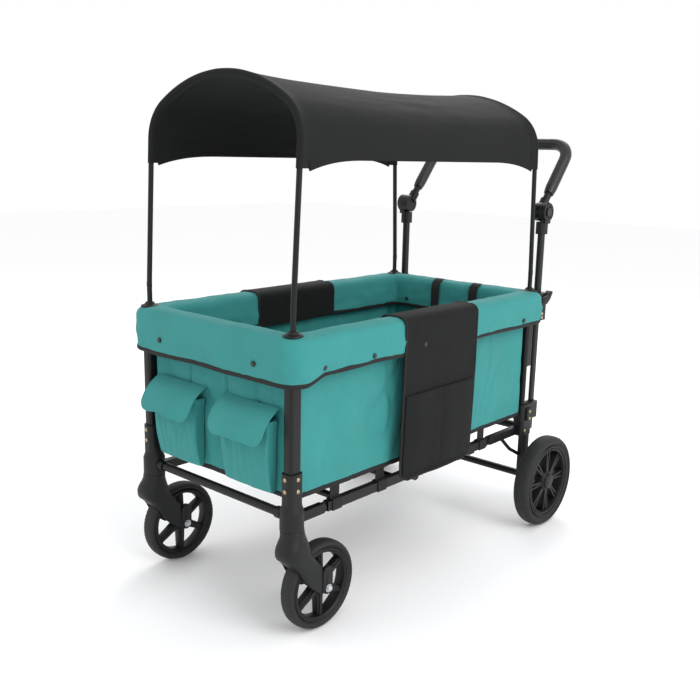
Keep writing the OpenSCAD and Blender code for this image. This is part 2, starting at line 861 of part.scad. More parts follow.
module front_wheel(s) {
    color(BLACK) translate([front_wheel_x, s * front_wheel_y, front_wheel_r])
        wheel(front_wheel_r - front_tyre_depth, front_tyre_w - 6, 19, front_tyre_w - 2, 6, 17, 14);
}

module front_tyre(s) {
    color(RUBBER) translate([front_wheel_x, s * front_wheel_y, front_wheel_r])
        tyre(front_wheel_r, front_tyre_w, front_tyre_depth, front_crown);
}

module rear_wheel(s) {
    color(BLACK) translate([rear_axle_x, s * rear_wheel_y, rear_wheel_r])
        wheel(rear_wheel_r - rear_tyre_depth, rear_tyre_w - 14, 24, rear_tyre_w - 14, 8, 13, 12);
}

module rear_tyre(s) {
    color(RUBBER) translate([rear_axle_x, s * rear_wheel_y, rear_wheel_r])
        tyre(rear_wheel_r, rear_tyre_w, rear_tyre_depth, rear_crown);
}

// ---------- handle ----------

module handle_uprights() {
    color(SATIN) for (s = SIDES) translate([upright_x, s * upright_y, 0])
        rounded_bar([upright_l, upright_w], upright_r, upright_low_z, handle_hinge_z - knuckle_seat);
}

// Lower halves of the tilt hinges, clamped on the uprights
module handle_knuckles() {
    low = handle_hinge_z - knuckle_low;
    color(BLACK) for (s = SIDES) translate([upright_x, s * upright_y, 0]) difference() {
        union() {
            rounded_bar([34, 27], 11, low, handle_hinge_z - disc_r - 2);
            translate([0, s * (hinge_gap + disc_t / 2), 0])
                box([-14, -disc_t / 2, handle_hinge_z - disc_r - 6], [14, disc_t / 2, handle_hinge_z]);
            translate([0, 0, handle_hinge_z]) mirror([0, s < 0 ? 1 : 0, 0]) {
                y_bar(hinge_gap, hinge_gap + disc_t, disc_r);
                y_bar(-disc_t, 1, tilt_pin_r);
            }
        }
        rounded_bar([upright_l + 2 * seat_gap, upright_w + 2 * seat_gap], upright_r + seat_gap,
            low - 1, handle_hinge_z - knuckle_seat + seat_gap);
        translate([0, 0, handle_hinge_z]) mirror([0, s < 0 ? 1 : 0, 0])
            y_bar(hinge_gap + disc_t - button_deep, 40, button_r + run_gap);
    }
}

module handle_button(s) {
    color(SATIN) translate([upright_x, s * upright_y, handle_hinge_z]) mirror([0, s < 0 ? 1 : 0, 0])
        y_bar(hinge_gap + disc_t - button_deep + button_out + 0.5, hinge_gap + disc_t + button_out, button_r);
}

// A bow in the XY plane with arms along +X, swept with the given radius from start
module bow(r, start) {
    arm_y = upright_y - hinge_gap - disc_t / 2;
    bend_x = handle_reach - bow_bend_r;
    bend_y = arm_y - bow_bend_r;
    for (s = SIDES) {
        translate([0, s * arm_y, 0]) x_bar(start, bend_x, r);
        translate([bend_x, s * bend_y, 0]) rotate([0, 0, s < 0 ? -90 : 0])
            rotate_extrude(angle = 90) translate([bow_bend_r, 0]) circle(r);
    }
    translate([handle_reach, 0, 0]) y_bar(-bend_y, bend_y, r);
}

module lean_back() {
    translate([upright_x, 0, handle_hinge_z]) rotate([0, -handle_lean, 0]) children();
}

module handle_bar() {
    color(BLACK) lean_back() difference() {
        union() {
            bow(handle_tube_r, socket_start);
            for (s = SIDES) mirror([0, s < 0 ? 1 : 0, 0]) translate([0, upright_y, 0]) {
                y_bar(-disc_t, -hinge_gap, disc_r);
                translate([0, -hinge_gap - disc_t / 2, 0]) x_bar(socket_start, socket_end, socket_r);
            }
        }
        for (s = SIDES) mirror([0, s < 0 ? 1 : 0, 0]) translate([0, upright_y, 0]) {
            y_bar(-40, 10, tilt_pin_r + run_gap);
            box([-40, -hinge_gap, -40], [60, 20, 40]);
        }
    }
}

module handle_grip() {
    color(CHARCOAL) lean_back() difference() {
        bow(grip_r, grip_start);
        bow(handle_tube_r + seat_gap, 0);
    }
}

// ---------- canopy ----------

// The hoop's outline filled down to z = low, grown by d
module hoop_region(d, low) {
    reach = 3 * bow_r;
    half = reach * tan(bow_half_angle + bend_lap);
    intersection() {
        translate([0, bow_z]) circle(bow_r + d, $fn = 96);
        polygon([[0, bow_z], [half, bow_z + reach], [-half, bow_z + reach]]);
    }
    for (s = SIDES) intersection() {
        translate([s * shoulder_y, shoulder_z]) circle(shoulder_r + d);
        translate([-bow_r, low]) square(2 * bow_r);
    }
    translate([-hoop_half - d, low]) square([2 * (hoop_half + d), shoulder_z - low]);
    translate([-shoulder_y, low]) square([2 * shoulder_y, shoulder_z - low + 40]);
}

// A bend of the hoop tube in the YZ plane, from one angle and over another
module hoop_bend(r, from, over) {
    rotate([90, 0, 90]) rotate([0, 0, from])
        rotate_extrude(angle = over) translate([r, 0]) circle(hoop_tube_r);
}

// A ferrule that joins two lengths of hoop tube
module ferrule() {
    translate([0, 0, -ferrule_l / 2]) cylinder(h = ferrule_l, r = hoop_tube_r + ferrule_t);
}

// A hoop standing at x = 0, leaning towards -dir above its kink
module hoop(dir) {
    leg_top = shoulder_z - kink_z;
    bend_gap = 0.6;
    for (s = SIDES) translate([0, s * post_y, 0]) {
        translate([0, 0, hoop_in_z]) cylinder(h = kink_z - hoop_in_z - 1, r = hoop_tube_r);
        translate([0, 0, kink_z]) ferrule();
    }
    translate([0, 0, kink_z]) rotate([0, -dir * hoop_lean, 0]) {
        for (s = SIDES) {
            translate([0, s * post_y, 1]) cylinder(h = leg_top - 2, r = hoop_tube_r);
            translate([0, s * post_y, leg_top]) ferrule();
            translate([0, s * shoulder_y, leg_top])
                hoop_bend(shoulder_r, s < 0 ? 90 + bow_half_angle + bend_gap : bend_gap,
                    90 - bow_half_angle - 2 * bend_gap);
            translate([0, 0, bow_z - kink_z]) rotate([s * -bow_half_angle, 0, 0])
                translate([0, 0, bow_r]) rotate([90, 0, 0]) ferrule();
        }
        translate([0, 0, bow_z - kink_z])
            hoop_bend(bow_r, 90 - bow_half_angle + bend_gap / 4, 2 * bow_half_angle - bend_gap / 2);
    }
}

module canopy_hoop_front() {
    color(SATIN) translate([front_x, 0, 0]) hoop(-1);
}

module canopy_hoop_rear() {
    color(SATIN) translate([rear_x, 0, 0]) hoop(1);
}

module canopy_fabric() {
    inset = (canopy_low_z - kink_z) * tan(hoop_lean) - canopy_hem;
    gap = hoop_tube_r + canopy_gap;
    color(CHARCOAL) translate([front_x + inset, 0, 0]) rotate([90, 0, 90])
        linear_extrude(post_span - 2 * inset) difference() {
            hoop_region(gap + fabric_t, canopy_low_z);
            hoop_region(gap, canopy_low_z - 1);
        }
}

// ---------- nodes ----------

rear_posts();
rear_legs();
handle_guides();
rear_castings();
hinge_arms_rear();
cross_tubes_rear();
rear_axle();
leg_braces();
rear_panel();
rim_cover_rear();
rear_straps();
rivets_rear();
side_panel(LEFT);  // side_panel_left
side_panel(RIGHT);  // side_panel_right
rim_cover_side(LEFT);  // rim_cover_left
rim_cover_side(RIGHT);  // rim_cover_right
organiser(LEFT);  // organiser_left
organiser(RIGHT);  // organiser_right
floor_mat();
brake_pedal();
lower_rails_rear();
floor_board(mid_pin_x + 4, rear_pin_x + rear_overhang);  // floor_board_rear
webbing_loops_rear();
lower_rails_front();
floor_board(front_pin_x - front_overhang, mid_pin_x - 4);  // floor_board_front
webbing_loops_front();
top_rails_rear();
rail_foam(mid_pin_x + 32, rear_pin_x - end_reach);  // rail_foam_rear
top_rails_front();
rail_foam(front_pin_x + end_reach, mid_pin_x - 32);  // rail_foam_front
front_posts();
front_legs();
front_castings();
hinge_arms_front();
cross_tubes_front();
front_panel();
rim_cover_front();
front_pockets();
rivets_front();
flap(LEFT);  // flap_left
flap(RIGHT);  // flap_right
caster_fork(LEFT);  // caster_fork_left
caster_fork(RIGHT);  // caster_fork_right
front_wheel(LEFT);  // front_wheel_left
front_wheel(RIGHT);  // front_wheel_right
front_tyre(LEFT);  // front_tyre_left
front_tyre(RIGHT);  // front_tyre_right
rear_wheel(LEFT);  // rear_wheel_left
rear_wheel(RIGHT);  // rear_wheel_right
rear_tyre(LEFT);  // rear_tyre_left
rear_tyre(RIGHT);  // rear_tyre_right
handle_uprights();
handle_knuckles();
handle_bar();
handle_grip();
handle_button(LEFT);  // handle_button_left
handle_button(RIGHT);  // handle_button_right
canopy_hoop_front();
canopy_hoop_rear();
canopy_fabric();
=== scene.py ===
"""Folding push wagon for children: the cloth, wheels, trim and finishes around its packed frame."""

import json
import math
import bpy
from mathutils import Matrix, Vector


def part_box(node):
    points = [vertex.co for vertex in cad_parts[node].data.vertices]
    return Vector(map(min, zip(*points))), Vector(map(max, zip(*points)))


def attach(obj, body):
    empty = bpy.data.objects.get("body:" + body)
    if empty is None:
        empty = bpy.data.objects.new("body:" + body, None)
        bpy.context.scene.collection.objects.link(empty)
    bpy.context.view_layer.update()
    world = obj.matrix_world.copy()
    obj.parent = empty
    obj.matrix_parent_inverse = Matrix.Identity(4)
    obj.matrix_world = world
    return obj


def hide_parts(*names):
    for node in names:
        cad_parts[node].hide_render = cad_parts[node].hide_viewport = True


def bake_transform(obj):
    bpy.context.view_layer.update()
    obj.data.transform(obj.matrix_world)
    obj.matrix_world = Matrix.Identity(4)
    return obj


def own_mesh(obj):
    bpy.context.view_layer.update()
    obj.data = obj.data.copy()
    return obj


bl_info = {
    "name": "Folding push wagon",
    "version": (1, 0, 0),
    "blender": (4, 5, 0),
    "location": "View3D > Sidebar > Wagon",
    "description": "Builds the cloth, wheels, trim and finishes of a folding push wagon on its frame",
    "category": "Object",
}

from functools import partial

import bpy
from bpy.props import FloatProperty, FloatVectorProperty, PointerProperty
from mathutils import Matrix, Vector, noise

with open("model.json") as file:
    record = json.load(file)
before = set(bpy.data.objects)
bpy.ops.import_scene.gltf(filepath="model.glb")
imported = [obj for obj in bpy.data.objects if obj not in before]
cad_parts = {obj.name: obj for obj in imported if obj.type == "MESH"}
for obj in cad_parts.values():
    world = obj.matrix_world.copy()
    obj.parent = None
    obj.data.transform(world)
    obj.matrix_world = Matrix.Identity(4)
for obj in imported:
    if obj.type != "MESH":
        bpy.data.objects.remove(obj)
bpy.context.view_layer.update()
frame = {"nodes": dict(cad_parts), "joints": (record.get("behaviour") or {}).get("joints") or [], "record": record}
MM = 0.001
LEFT, RIGHT = -1, 1
SIDES = {LEFT: "left", RIGHT: "right"}


# ---------- places read from the frame ----------

def low(node):
    """The lowest corner of a frame node."""
    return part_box(node)[0]


def high(node):
    """The highest corner of a frame node."""
    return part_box(node)[1]


def middle(node):
    """The middle of a frame node's box."""
    return (low(node) + high(node)) / 2


JOINT_AT = {joint["name"]: Vector(joint["pos_m"]) for joint in frame["joints"] if "pos_m" in joint}
REAR_PIN = JOINT_AT["fold"].x
MID_PIN = JOINT_AT["floor_mid"].x
FRONT_PIN = JOINT_AT["front_fold"].x
FRONT_X = middle("front_posts").x
REAR_X = middle("rear_posts").x
POST_Y = high("front_posts").y - 13 * MM
MID_X = (FRONT_X + REAR_X) / 2
COVER_HALF_X = MID_X - low("rim_cover_front").x
COVER_HALF_Y = high("rim_cover_right").y
COVER_IN_X = MID_X + 423 * MM
COVER_IN_Y = low("rim_cover_right").y
COVER_TOP = high("rim_cover_left").z
COVER_LOW = low("rim_cover_left").z
WALL_LOW = low("side_panel_left").z
WALL_TOP = high("side_panel_left").z
WALL_Y = middle("side_panel_right").y
HUB_FRONT = {s: JOINT_AT["front_wheel_spin_" + SIDES[s]] for s in SIDES}
HUB_REAR = {s: JOINT_AT["rear_wheel_spin_" + SIDES[s]] for s in SIDES}
FRONT_R = high("front_tyre_left").z - HUB_FRONT[LEFT].z
REAR_R = high("rear_tyre_left").z - HUB_REAR[LEFT].z


# ---------- small helpers ----------

def linear(code):
    """A colour as linear RGB, from its sRGB hex code."""
    channels = [int(code[i:i + 2], 16) / 255 for i in (1, 3, 5)]
    return tuple(c / 12.92 if c <= 0.04045 else ((c + 0.055) / 1.055) ** 2.4 for c in channels)


def lerp(a, b, t):
    """The value a share t of the way from a to b."""
    return a + (b - a) * t


def ease(t):
    """Turns 0 to 1 smoothly, flat at both ends."""
    t = min(max(t, 0.0), 1.0)
    return t * t * (3 - 2 * t)


def crinkle(x, y, z, seed=0.0):
    """Smooth noise between -1 and 1, one wave per unit, from a seed that moves the pattern."""
    return noise.noise(Vector((x + seed * 7.31, y + seed * 3.17, z + seed * 1.93)))


def deselect():
    """Clears the selection, so that the next operator acts on the new piece alone."""
    bpy.ops.object.select_all(action="DESELECT")


def name_active(name):
    """Names the object that an operator has just made."""
    obj = bpy.context.active_object
    obj.name = name
    obj.data.name = name
    return obj


def pick(obj):
    """Makes one object the only selected and active one."""
    deselect()
    obj.select_set(True)
    bpy.context.view_layer.objects.active = obj


def settle(obj):
    """Puts the object's place and turn into its mesh."""
    pick(obj)
    bpy.ops.object.transform_apply(location=True, rotation=True, scale=True)
    return obj


def modify(obj, kind, **settings):
    """Adds a modifier with its settings and applies it."""
    pick(obj)
    modifier = obj.modifiers.new(kind.title(), kind)
    for key, value in settings.items():
        setattr(modifier, key, value)
    bpy.ops.object.modifier_apply(modifier=modifier.name)
    return obj


def smooth(obj, degrees=40):
    """Smooth shading that keeps the edges sharper than the angle."""
    pick(obj)
    bpy.ops.object.shade_smooth_by_angle(angle=math.radians(degrees))
    return obj


def tidy_normals(obj, merge=0.00001):
    """Merges doubled points and turns all faces outwards."""
    edit(obj, partial(bpy.ops.mesh.remove_doubles, threshold=merge),
         partial(bpy.ops.mesh.normals_make_consistent, inside=False))
    return obj


def join(name, pieces):
    """Joins pieces into one object."""
    deselect()
    for piece in pieces:
        piece.select_set(True)
    bpy.context.view_layer.objects.active = pieces[0]
    if len(pieces) > 1:
        bpy.ops.object.join()
    return name_active(name)


def copied(obj, name, matrix):
    """A copy with its own mesh, moved by a matrix."""
    pick(obj)
    bpy.ops.object.duplicate()
    copy = name_active(name)
    copy.data.transform(matrix)
    return copy


def turn_y(angle, centre):
    """A turn about the Y axis through a centre, as a matrix."""
    place = Matrix.Translation(centre)
    return place @ Matrix.Rotation(math.radians(angle), 4, "Y") @ place.inverted()


def placed(obj, slot, body, *replaced):
    """Gives a piece the finish of its slot, lets it ride a body and stand for frame nodes."""
    obj.data.materials.clear()
    obj.data.materials.append(FINISH[slot])
    if body:
        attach(obj, body)
    if replaced:
        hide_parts(*replaced)
    return obj


# ---------- makers of pieces ----------

def cloth(name, cols, rows, shape, thickness):
    """A cloth laid out by shape(u, v) from a grid, with its real thickness."""
    deselect()
    bpy.ops.mesh.primitive_grid_add(x_subdivisions=cols, y_subdivisions=rows, size=1)
    obj = name_active(name)
    for vertex in obj.data.vertices:
        vertex.co = shape(vertex.co.x + 0.5, vertex.co.y + 0.5)
    modify(obj, "SOLIDIFY", thickness=thickness, offset=0.0)
    tidy_normals(obj, 0.0000001)
    return smooth(obj, 60)


def edit(obj, *steps):
    """Runs mesh operators on all of a piece in edit mode."""
    pick(obj)
    bpy.ops.object.mode_set(mode="EDIT")
    bpy.ops.mesh.select_all(action="SELECT")
    for step in steps:
        step()
    bpy.ops.object.mode_set(mode="OBJECT")


def lofted(name, rings):
    """A ring of edges extruded from station to station, with both ends filled."""
    count = len(rings[0])
    deselect()
    bpy.ops.mesh.primitive_circle_add(vertices=count, radius=1, fill_type="NOTHING")
    obj = name_active(name)
    for index, vertex in enumerate(obj.data.vertices):
        vertex.co = (index, 0, 0)
    extrude = partial(bpy.ops.mesh.extrude_region_move, TRANSFORM_OT_translate={"value": (0, 0, 1)})
    edit(obj, *[extrude] * (len(rings) - 1), bpy.ops.mesh.edge_face_add)
    start = []
    for vertex in obj.data.vertices:
        index, ring = round(vertex.co.x), round(vertex.co.z)
        vertex.co = rings[ring][index]
        if ring == 0:
            start.append(vertex.index)
    edit(obj, partial(bpy.ops.mesh.select_all, action="DESELECT"))
    for index in start:
        obj.data.vertices[index].select = True
    bpy.ops.object.mode_set(mode="EDIT")
    bpy.ops.mesh.edge_face_add()
    bpy.ops.object.mode_set(mode="OBJECT")
    tidy_normals(obj)
    return smooth(obj, 40)


def swept(name, points, section, up=(0, 0, 1)):
    """A section of (across, up) points swept along a path; across is level and square to the path."""
    rings = []
    for i, point in enumerate(points):
        before, after = points[max(i - 1, 0)], points[min(i + 1, len(points) - 1)]
        along = (after - before).normalized()
        across = along.cross(Vector(up)).normalized()
        rise = across.cross(along)
        rings.append([point + across * a + rise * b for a, b in section])
    return lofted(name, rings)


def oval(across, rise, sides=8):
    """An oval section."""
    return [(across * math.cos(2 * math.pi * i / sides), rise * math.sin(2 * math.pi * i / sides))
            for i in range(sides)]


def turned(name, profile, centre, steps=96):
    """A closed profile of (radius, y) points spun about the Y axis through the centre."""
    deselect()
    bpy.ops.mesh.primitive_circle_add(vertices=len(profile), fill_type="NOTHING")
    obj = name_active(name)
    for vertex, (radius, y) in zip(obj.data.vertices, profile):
        vertex.co = (radius, y, 0)
    edit(obj, partial(bpy.ops.mesh.spin, steps=steps, angle=2 * math.pi, center=(0, 0, 0), axis=(0, 1, 0)))
    tidy_normals(obj)
    obj.location = centre
    return smooth(settle(obj), 35)


def plate(name, outline, low_y, high_y, bevel):
    """An outline of (x, z) points extruded along Y, with its edges rounded."""
    deselect()
    bpy.ops.mesh.primitive_circle_add(vertices=len(outline), fill_type="NGON")
    obj = name_active(name)
    for vertex, (x, z) in zip(obj.data.vertices, outline):
        vertex.co = (x, low_y, z)
    edit(obj, partial(bpy.ops.mesh.extrude_region_move,
                      TRANSFORM_OT_translate={"value": (0, high_y - low_y, 0)}))
    tidy_normals(obj)
    modify(obj, "BEVEL", width=bevel, segments=3, limit_method="ANGLE", angle_limit=0.6)
    return smooth(obj, 35)


def drum(name, centre, radius, length, bevel, axis="Y", sides=48):
    """A cylinder along an axis with rounded rims."""
    turn = {"X": (0, math.pi / 2, 0), "Y": (math.pi / 2, 0, 0), "Z": (0, 0, 0)}[axis]
    deselect()
    bpy.ops.mesh.primitive_cylinder_add(vertices=sides, radius=radius, depth=length, location=centre,
                                        rotation=turn)
    obj = settle(name_active(name))
    modify(obj, "BEVEL", width=bevel, segments=3, limit_method="ANGLE", angle_limit=0.8)
    return smooth(obj, 35)


def block(name, low_corner, high_corner, bevel):
    """A box between two corners with rounded edges."""
    low_corner, high_corner = Vector(low_corner), Vector(high_corner)
    deselect()
    bpy.ops.mesh.primitive_cube_add(size=1, location=(low_corner + high_corner) / 2)
    obj = name_active(name)
    obj.scale = high_corner - low_corner
    settle(obj)
    modify(obj, "BEVEL", width=bevel, segments=3)
    return smooth(obj, 35)


def arc(centre, radius, start, end, count):
    """Points on a circle from one angle to another, in degrees."""
    return [(centre[0] + radius * math.cos(math.radians(lerp(start, end, i / count))),
             centre[1] + radius * math.sin(math.radians(lerp(start, end, i / count))))
            for i in range(count + 1)]


# ---------- materials ----------

def add_node(tree, kind, inputs=None, **settings):
    """Adds a shader node with its settings; inputs maps a socket to a value or to another socket."""
    node = tree.nodes.new(kind)
    for key, value in settings.items():
        setattr(node, key, value)
    for socket, value in (inputs or {}).items():
        if isinstance(value, bpy.types.NodeSocket):
            tree.links.new(value, node.inputs[socket])
        else:
            node.inputs[socket].default_value = value
    return node


def new_material(name, code, roughness, metallic=0.0, **constants):
    """A material with its base colour and constants; returns it, its tree and its shader."""
    material = bpy.data.materials.new(name)
    material.use_nodes = True
    material.diffuse_color = (*linear(code), 1)
    tree = material.node_tree
    shader = tree.nodes["Principled BSDF"]
    shader.inputs["Base Color"].default_value = (*linear(code), 1)
    shader.inputs["Roughness"].default_value = roughness
    shader.inputs["Metallic"].default_value = metallic
    for key, value in constants.items():
        shader.inputs[key.replace("_", " ")].default_value = value
    return material, tree, shader


def coordinates(tree, scale=(1, 1, 1), turn=(0, 0, 0)):
    """Object coordinates, scaled and turned."""
    place = add_node(tree, "ShaderNodeTexCoord")
    mapping = add_node(tree, "ShaderNodeMapping", {"Vector": place.outputs["Object"], "Scale": scale,
                                                   "Rotation": turn})
    return mapping.outputs["Vector"]


def shade_between(tree, shader, factor, shaded_tone, light):
    """Base colour between two codes by a factor socket."""
    mix = add_node(tree, "ShaderNodeMix",
                   {"Factor": factor, "A": (*linear(shaded_tone), 1), "B": (*linear(light), 1)},
                   data_type="RGBA")
    tree.links.new(mix.outputs["Result"], shader.inputs["Base Color"])


def add_bump(tree, shader, height, distance, strength=1.0):
    """A bump of the given height in metres."""
    bump = add_node(tree, "ShaderNodeBump", {"Height": height, "Distance": distance, "Strength": strength})
    tree.links.new(bump.outputs["Normal"], shader.inputs["Normal"])


def weave(tree, pitch):
    """Threads that cross in all three axes, each as wide as half the pitch in metres."""
    total = None
    vector = coordinates(tree)
    for axis in ("X", "Y", "Z"):
        wave = add_node(tree, "ShaderNodeTexWave", {"Vector": vector, "Scale": math.pi / (10 * pitch)},
                        wave_type="BANDS", bands_direction=axis)
        if total is None:
            total = wave.outputs["Fac"]
        else:
            total = add_node(tree, "ShaderNodeMath", {0: total, 1: wave.outputs["Fac"]}).outputs[0]
    return total


def woven(name, shaded_tone, light, roughness, pitch, patch, sheen, tint, specular=0.5):
    """A woven cloth: threads as bump, with soft uneven shade from wear and folds."""
    material, tree, shader = new_material(name, light, roughness, Specular_IOR_Level=specular)
    shader.inputs["Sheen Weight"].default_value = sheen
    shader.inputs["Sheen Roughness"].default_value = 0.45
    shader.inputs["Sheen Tint"].default_value = (*linear(tint), 1)
    painted_shade_patches = add_node(tree, "ShaderNodeTexNoise",
                      {"Vector": coordinates(tree), "Scale": 1 / patch, "Detail": 3.0,
                                                   "Roughness": 0.55})
    # Painted shade: noise patches darken the base colour towards the shaded tone.
    shade_between(tree, shader, painted_shade_patches.outputs["Fac"], shaded_tone, light)
    add_bump(tree, shader, weave(tree, pitch), 0.00012, 0.55)
    return material


def make_materials(colours):
    """All the finishes by slot, from the user's colours."""
    finish = {}
    # Powder-coated steel tube: satin black with a faint orange peel, 1 mm grain.
    material, tree, shader = new_material("powder_coated_steel", "#0c0d0e", 0.4, Specular_IOR_Level=0.3)
    peel = add_node(tree, "ShaderNodeTexNoise", {"Vector": coordinates(tree), "Scale": 900.0, "Detail": 1.0})
    add_bump(tree, shader, peel.outputs["Fac"], 0.00005, 0.5)
    finish["frame_black"] = material
    # Glass-filled nylon, spark-textured mould: dark grey-black with a soft, broken highlight.
    # The real 0.1 mm grain is drawn at about 0.6 mm so that it shows.
    material, tree, shader = new_material("moulded_nylon", "#111213", 0.5, Specular_IOR_Level=0.32)
    grain = add_node(tree, "ShaderNodeTexNoise",
                     {"Vector": coordinates(tree), "Scale": 1600.0, "Detail": 2.0})
    add_bump(tree, shader, grain.outputs["Fac"], 0.00008, 0.5)
    finish["black_plastic"] = material
    # Woven polyester (600 denier oxford), teal: matt with a light sheen at grazing angles.
    # The 0.5 mm threads are drawn at 1.4 mm so that the weave shows.
    # The first code is a shaded tone of the teal, painted in soft patches as shade.
    finish["teal_fabric"] = woven("teal_polyester_oxford", "#2a7f7d", colours["cloth"], 0.86, 1.4 * MM,
                                  0.09, 0.08,
                                  "#bfe8e4")
    # Woven polyester canopy cloth, charcoal: plain weave with a silky sheen along its folds.
    # The 0.3 mm threads are drawn at 1.2 mm.
    # The first code is a shaded tone of the charcoal, painted in soft patches as shade.
    finish["canopy_fabric"] = woven("charcoal_polyester_plain_weave", "#141515", colours["canopy"], 0.82,
                                    1.2 * MM, 0.15,
                                    0.03, "#9a9ca0", 0.2)
    # Polyester twill, black: matt, with fine diagonal ribs. The 0.7 mm ribs are drawn at 1.8 mm.
    material, tree, shader = new_material("black_polyester_twill", "#101112", 0.88, Specular_IOR_Level=0.25)
    shader.inputs["Sheen Weight"].default_value = 0.02
    ribs = add_node(tree, "ShaderNodeTexWave", {
        "Vector": coordinates(tree, turn=(0, math.radians(45), 0)), "Scale": math.pi / (10 * 1.8 * MM)},
        wave_type="BANDS", bands_direction="X")
    add_bump(tree, shader, ribs.outputs["Fac"], 0.0002, 0.7)
    finish["organiser_fabric"] = material
    # Polypropylene webbing and bias tape, black: matt with close 1.5 mm ribs.
    material, tree, shader = new_material("black_webbing", "#0b0b0c", 0.78)
    ribs = add_node(tree, "ShaderNodeTexWave",
                    {"Vector": coordinates(tree), "Scale": math.pi / (10 * 1.5 * MM)},
                    wave_type="BANDS", bands_direction="DIAGONAL")
    add_bump(tree, shader, ribs.outputs["Fac"], 0.00015, 0.6)
    finish["webbing"] = material
    # Laminated floor board in black cloth: matt.
    material, tree, shader = new_material("black_laminated_board", "#141416", 0.8)
    finish["floor_board"] = material
    # Closed-cell foam sleeve: dull dark grey with 1 mm cells.
    material, tree, shader = new_material("closed_cell_foam", "#1c1d1f", 0.9)
    cells = add_node(tree, "ShaderNodeTexVoronoi", {"Vector": coordinates(tree), "Scale": 900.0})
    add_bump(tree, shader, cells.outputs["Distance"], 0.0002, 0.6)
    finish["foam"] = material
    # Polyurethane leatherette: black, pebbled 1.5 mm grain, soft wide highlight.
    material, tree, shader = new_material("black_leatherette", "#171717", 0.42)
    pebbles = add_node(tree, "ShaderNodeTexVoronoi", {"Vector": coordinates(tree), "Scale": 620.0,
                                                      "Smoothness": 0.6}, feature="SMOOTH_F1")
    add_bump(tree, shader, pebbles.outputs["Distance"], 0.00022, 0.6)
    finish["grip_leather"] = material
    # Foamed polyurethane tyre: matt black-grey skin, very fine pores.
    material, tree, shader = new_material("tyre_polyurethane", "#191a1b", 0.74)
    pores = add_node(tree, "ShaderNodeTexNoise", {"Vector": coordinates(tree), "Scale": 700.0, "Detail": 3.0})
    add_bump(tree, shader, pores.outputs["Fac"], 0.0001, 0.5)
    finish["tyre_rubber"] = material
    # Brass-plated steel rivets: dull warm metal, tumbled.
    finish["rivet_brass"] = new_material("brass_plated_steel", "#a8987a", 0.38, 1.0)[0]
    # Bright zinc-plated bolts: clean silver metal.
    finish["bright_zinc"] = new_material("bright_zinc_plate", "#c9ccd0", 0.3, 1.0)[0]
    # Acetal press studs and buttons: dark grey, smooth and slightly glossy.
    finish["button_grey"] = new_material("acetal", "#161719", 0.3)[0]
    # Printed vinyl label without any text: off-white, satin.
    finish["label_white"] = new_material("blank_vinyl_label", "#d9dad6", 0.45)[0]
    # Studio floor: plain painted board, nearly white.
    finish["stage"] = new_material("painted_floor", "#fbfbfc", 0.95)[0]
    return finish


FINISH = {}


def finish_frame_nodes():
    """Gives every frame node that still shows the finish of its slot."""
    slots = {part["node"]: part["material_slot"] for part in frame["record"]["subparts"]}
    for name, obj in frame["nodes"].items():
        slot = slots.get(name)
        if slot in FINISH:
            obj.data.materials.clear()
            obj.data.materials.append(FINISH[slot])
            smooth(obj, 30)


# ---------- rim cover ----------

ROUND_TOP = 26 * MM
STUD_OUT = 3.6 * MM


def corner_plan(half_x, half_y, radius, quarter, t):
    """A point on a rounded rectangle's corner about the middle, and its outward turn."""
    angle = math.radians(90 * (quarter + t))
    x = math.copysign(half_x - radius, math.cos(math.radians(90 * quarter + 45)))
    y = math.copysign(half_y - radius, math.sin(math.radians(90 * quarter + 45)))
    return Vector((MID_X + x + radius * math.cos(angle), y + radius * math.sin(angle), 0))


def cover_stations(end_x, facing):
    """Outer and inner plan points of a U of the cover, from one side to the other.

    facing is -1 for the front U and 1 for the rear one."""
    stations = []
    straight = abs(end_x - MID_X)
    quarters = (0, 3) if facing > 0 else (1, 2)
    for place, quarter in enumerate(quarters):
        side = 1 if place == 0 else -1
        start = Vector((MID_X + facing * straight, side * COVER_HALF_Y, 0))
        inner_start = Vector((start.x, side * COVER_IN_Y, 0))
        run = []
        turn = [i / 10 for i in range(11)]
        if (facing > 0) == (place == 0):
            turn.reverse()
        for t in turn:
            run.append((corner_plan(COVER_HALF_X, COVER_HALF_Y, 42 * MM, quarter, t),
                        corner_plan(COVER_IN_X - MID_X, COVER_IN_Y, 14 * MM, quarter, t)))
        legs = [(start.lerp(run[0][0], i / 8), inner_start.lerp(run[0][1], i / 8)) for i in range(8)]
        run = legs + run
        if place == 1:
            run.reverse()
        stations.append(run)
    a, b = stations[0][-1], stations[1][0]
    across = [(a[0].lerp(b[0], i / 44), a[1].lerp(b[1], i / 44)) for i in range(1, 44)]
    return stations[0] + across + stations[1]


def cover_point(outer, inner, v, low_out, low_in, wobble):
    """A point of the cover's section: up the outside, over the rounded top, down the inside."""
    if v < 0.3:
        side, z = -1.0, lerp(low_out, COVER_TOP - ROUND_TOP, v / 0.3)
        puff = math.sin(math.pi * v / 0.3)
    elif v > 0.72:
        side, z = 1.0, lerp(low_in, COVER_TOP - ROUND_TOP, (1 - v) / 0.28)
        puff = math.sin(math.pi * (1 - v) / 0.28)
    else:
        angle = math.pi * (1 - (v - 0.3) / 0.42)
        side = math.copysign(abs(math.cos(angle)) ** 0.62, math.cos(angle))
        z = COVER_TOP - ROUND_TOP + ROUND_TOP * math.sin(angle) ** 0.62
        puff = 0.0
    point = outer.lerp(inner, (side + 1) / 2)
    normal = (outer - inner).normalized() * -side
    rise = max(0.0, 1 - abs(side)) ** 0.5
    point = point + normal * (puff * 1.2 * MM + wobble * (1 - rise) * (0.3 + puff))
    point.z = z + wobble * rise * 0.7
    return point


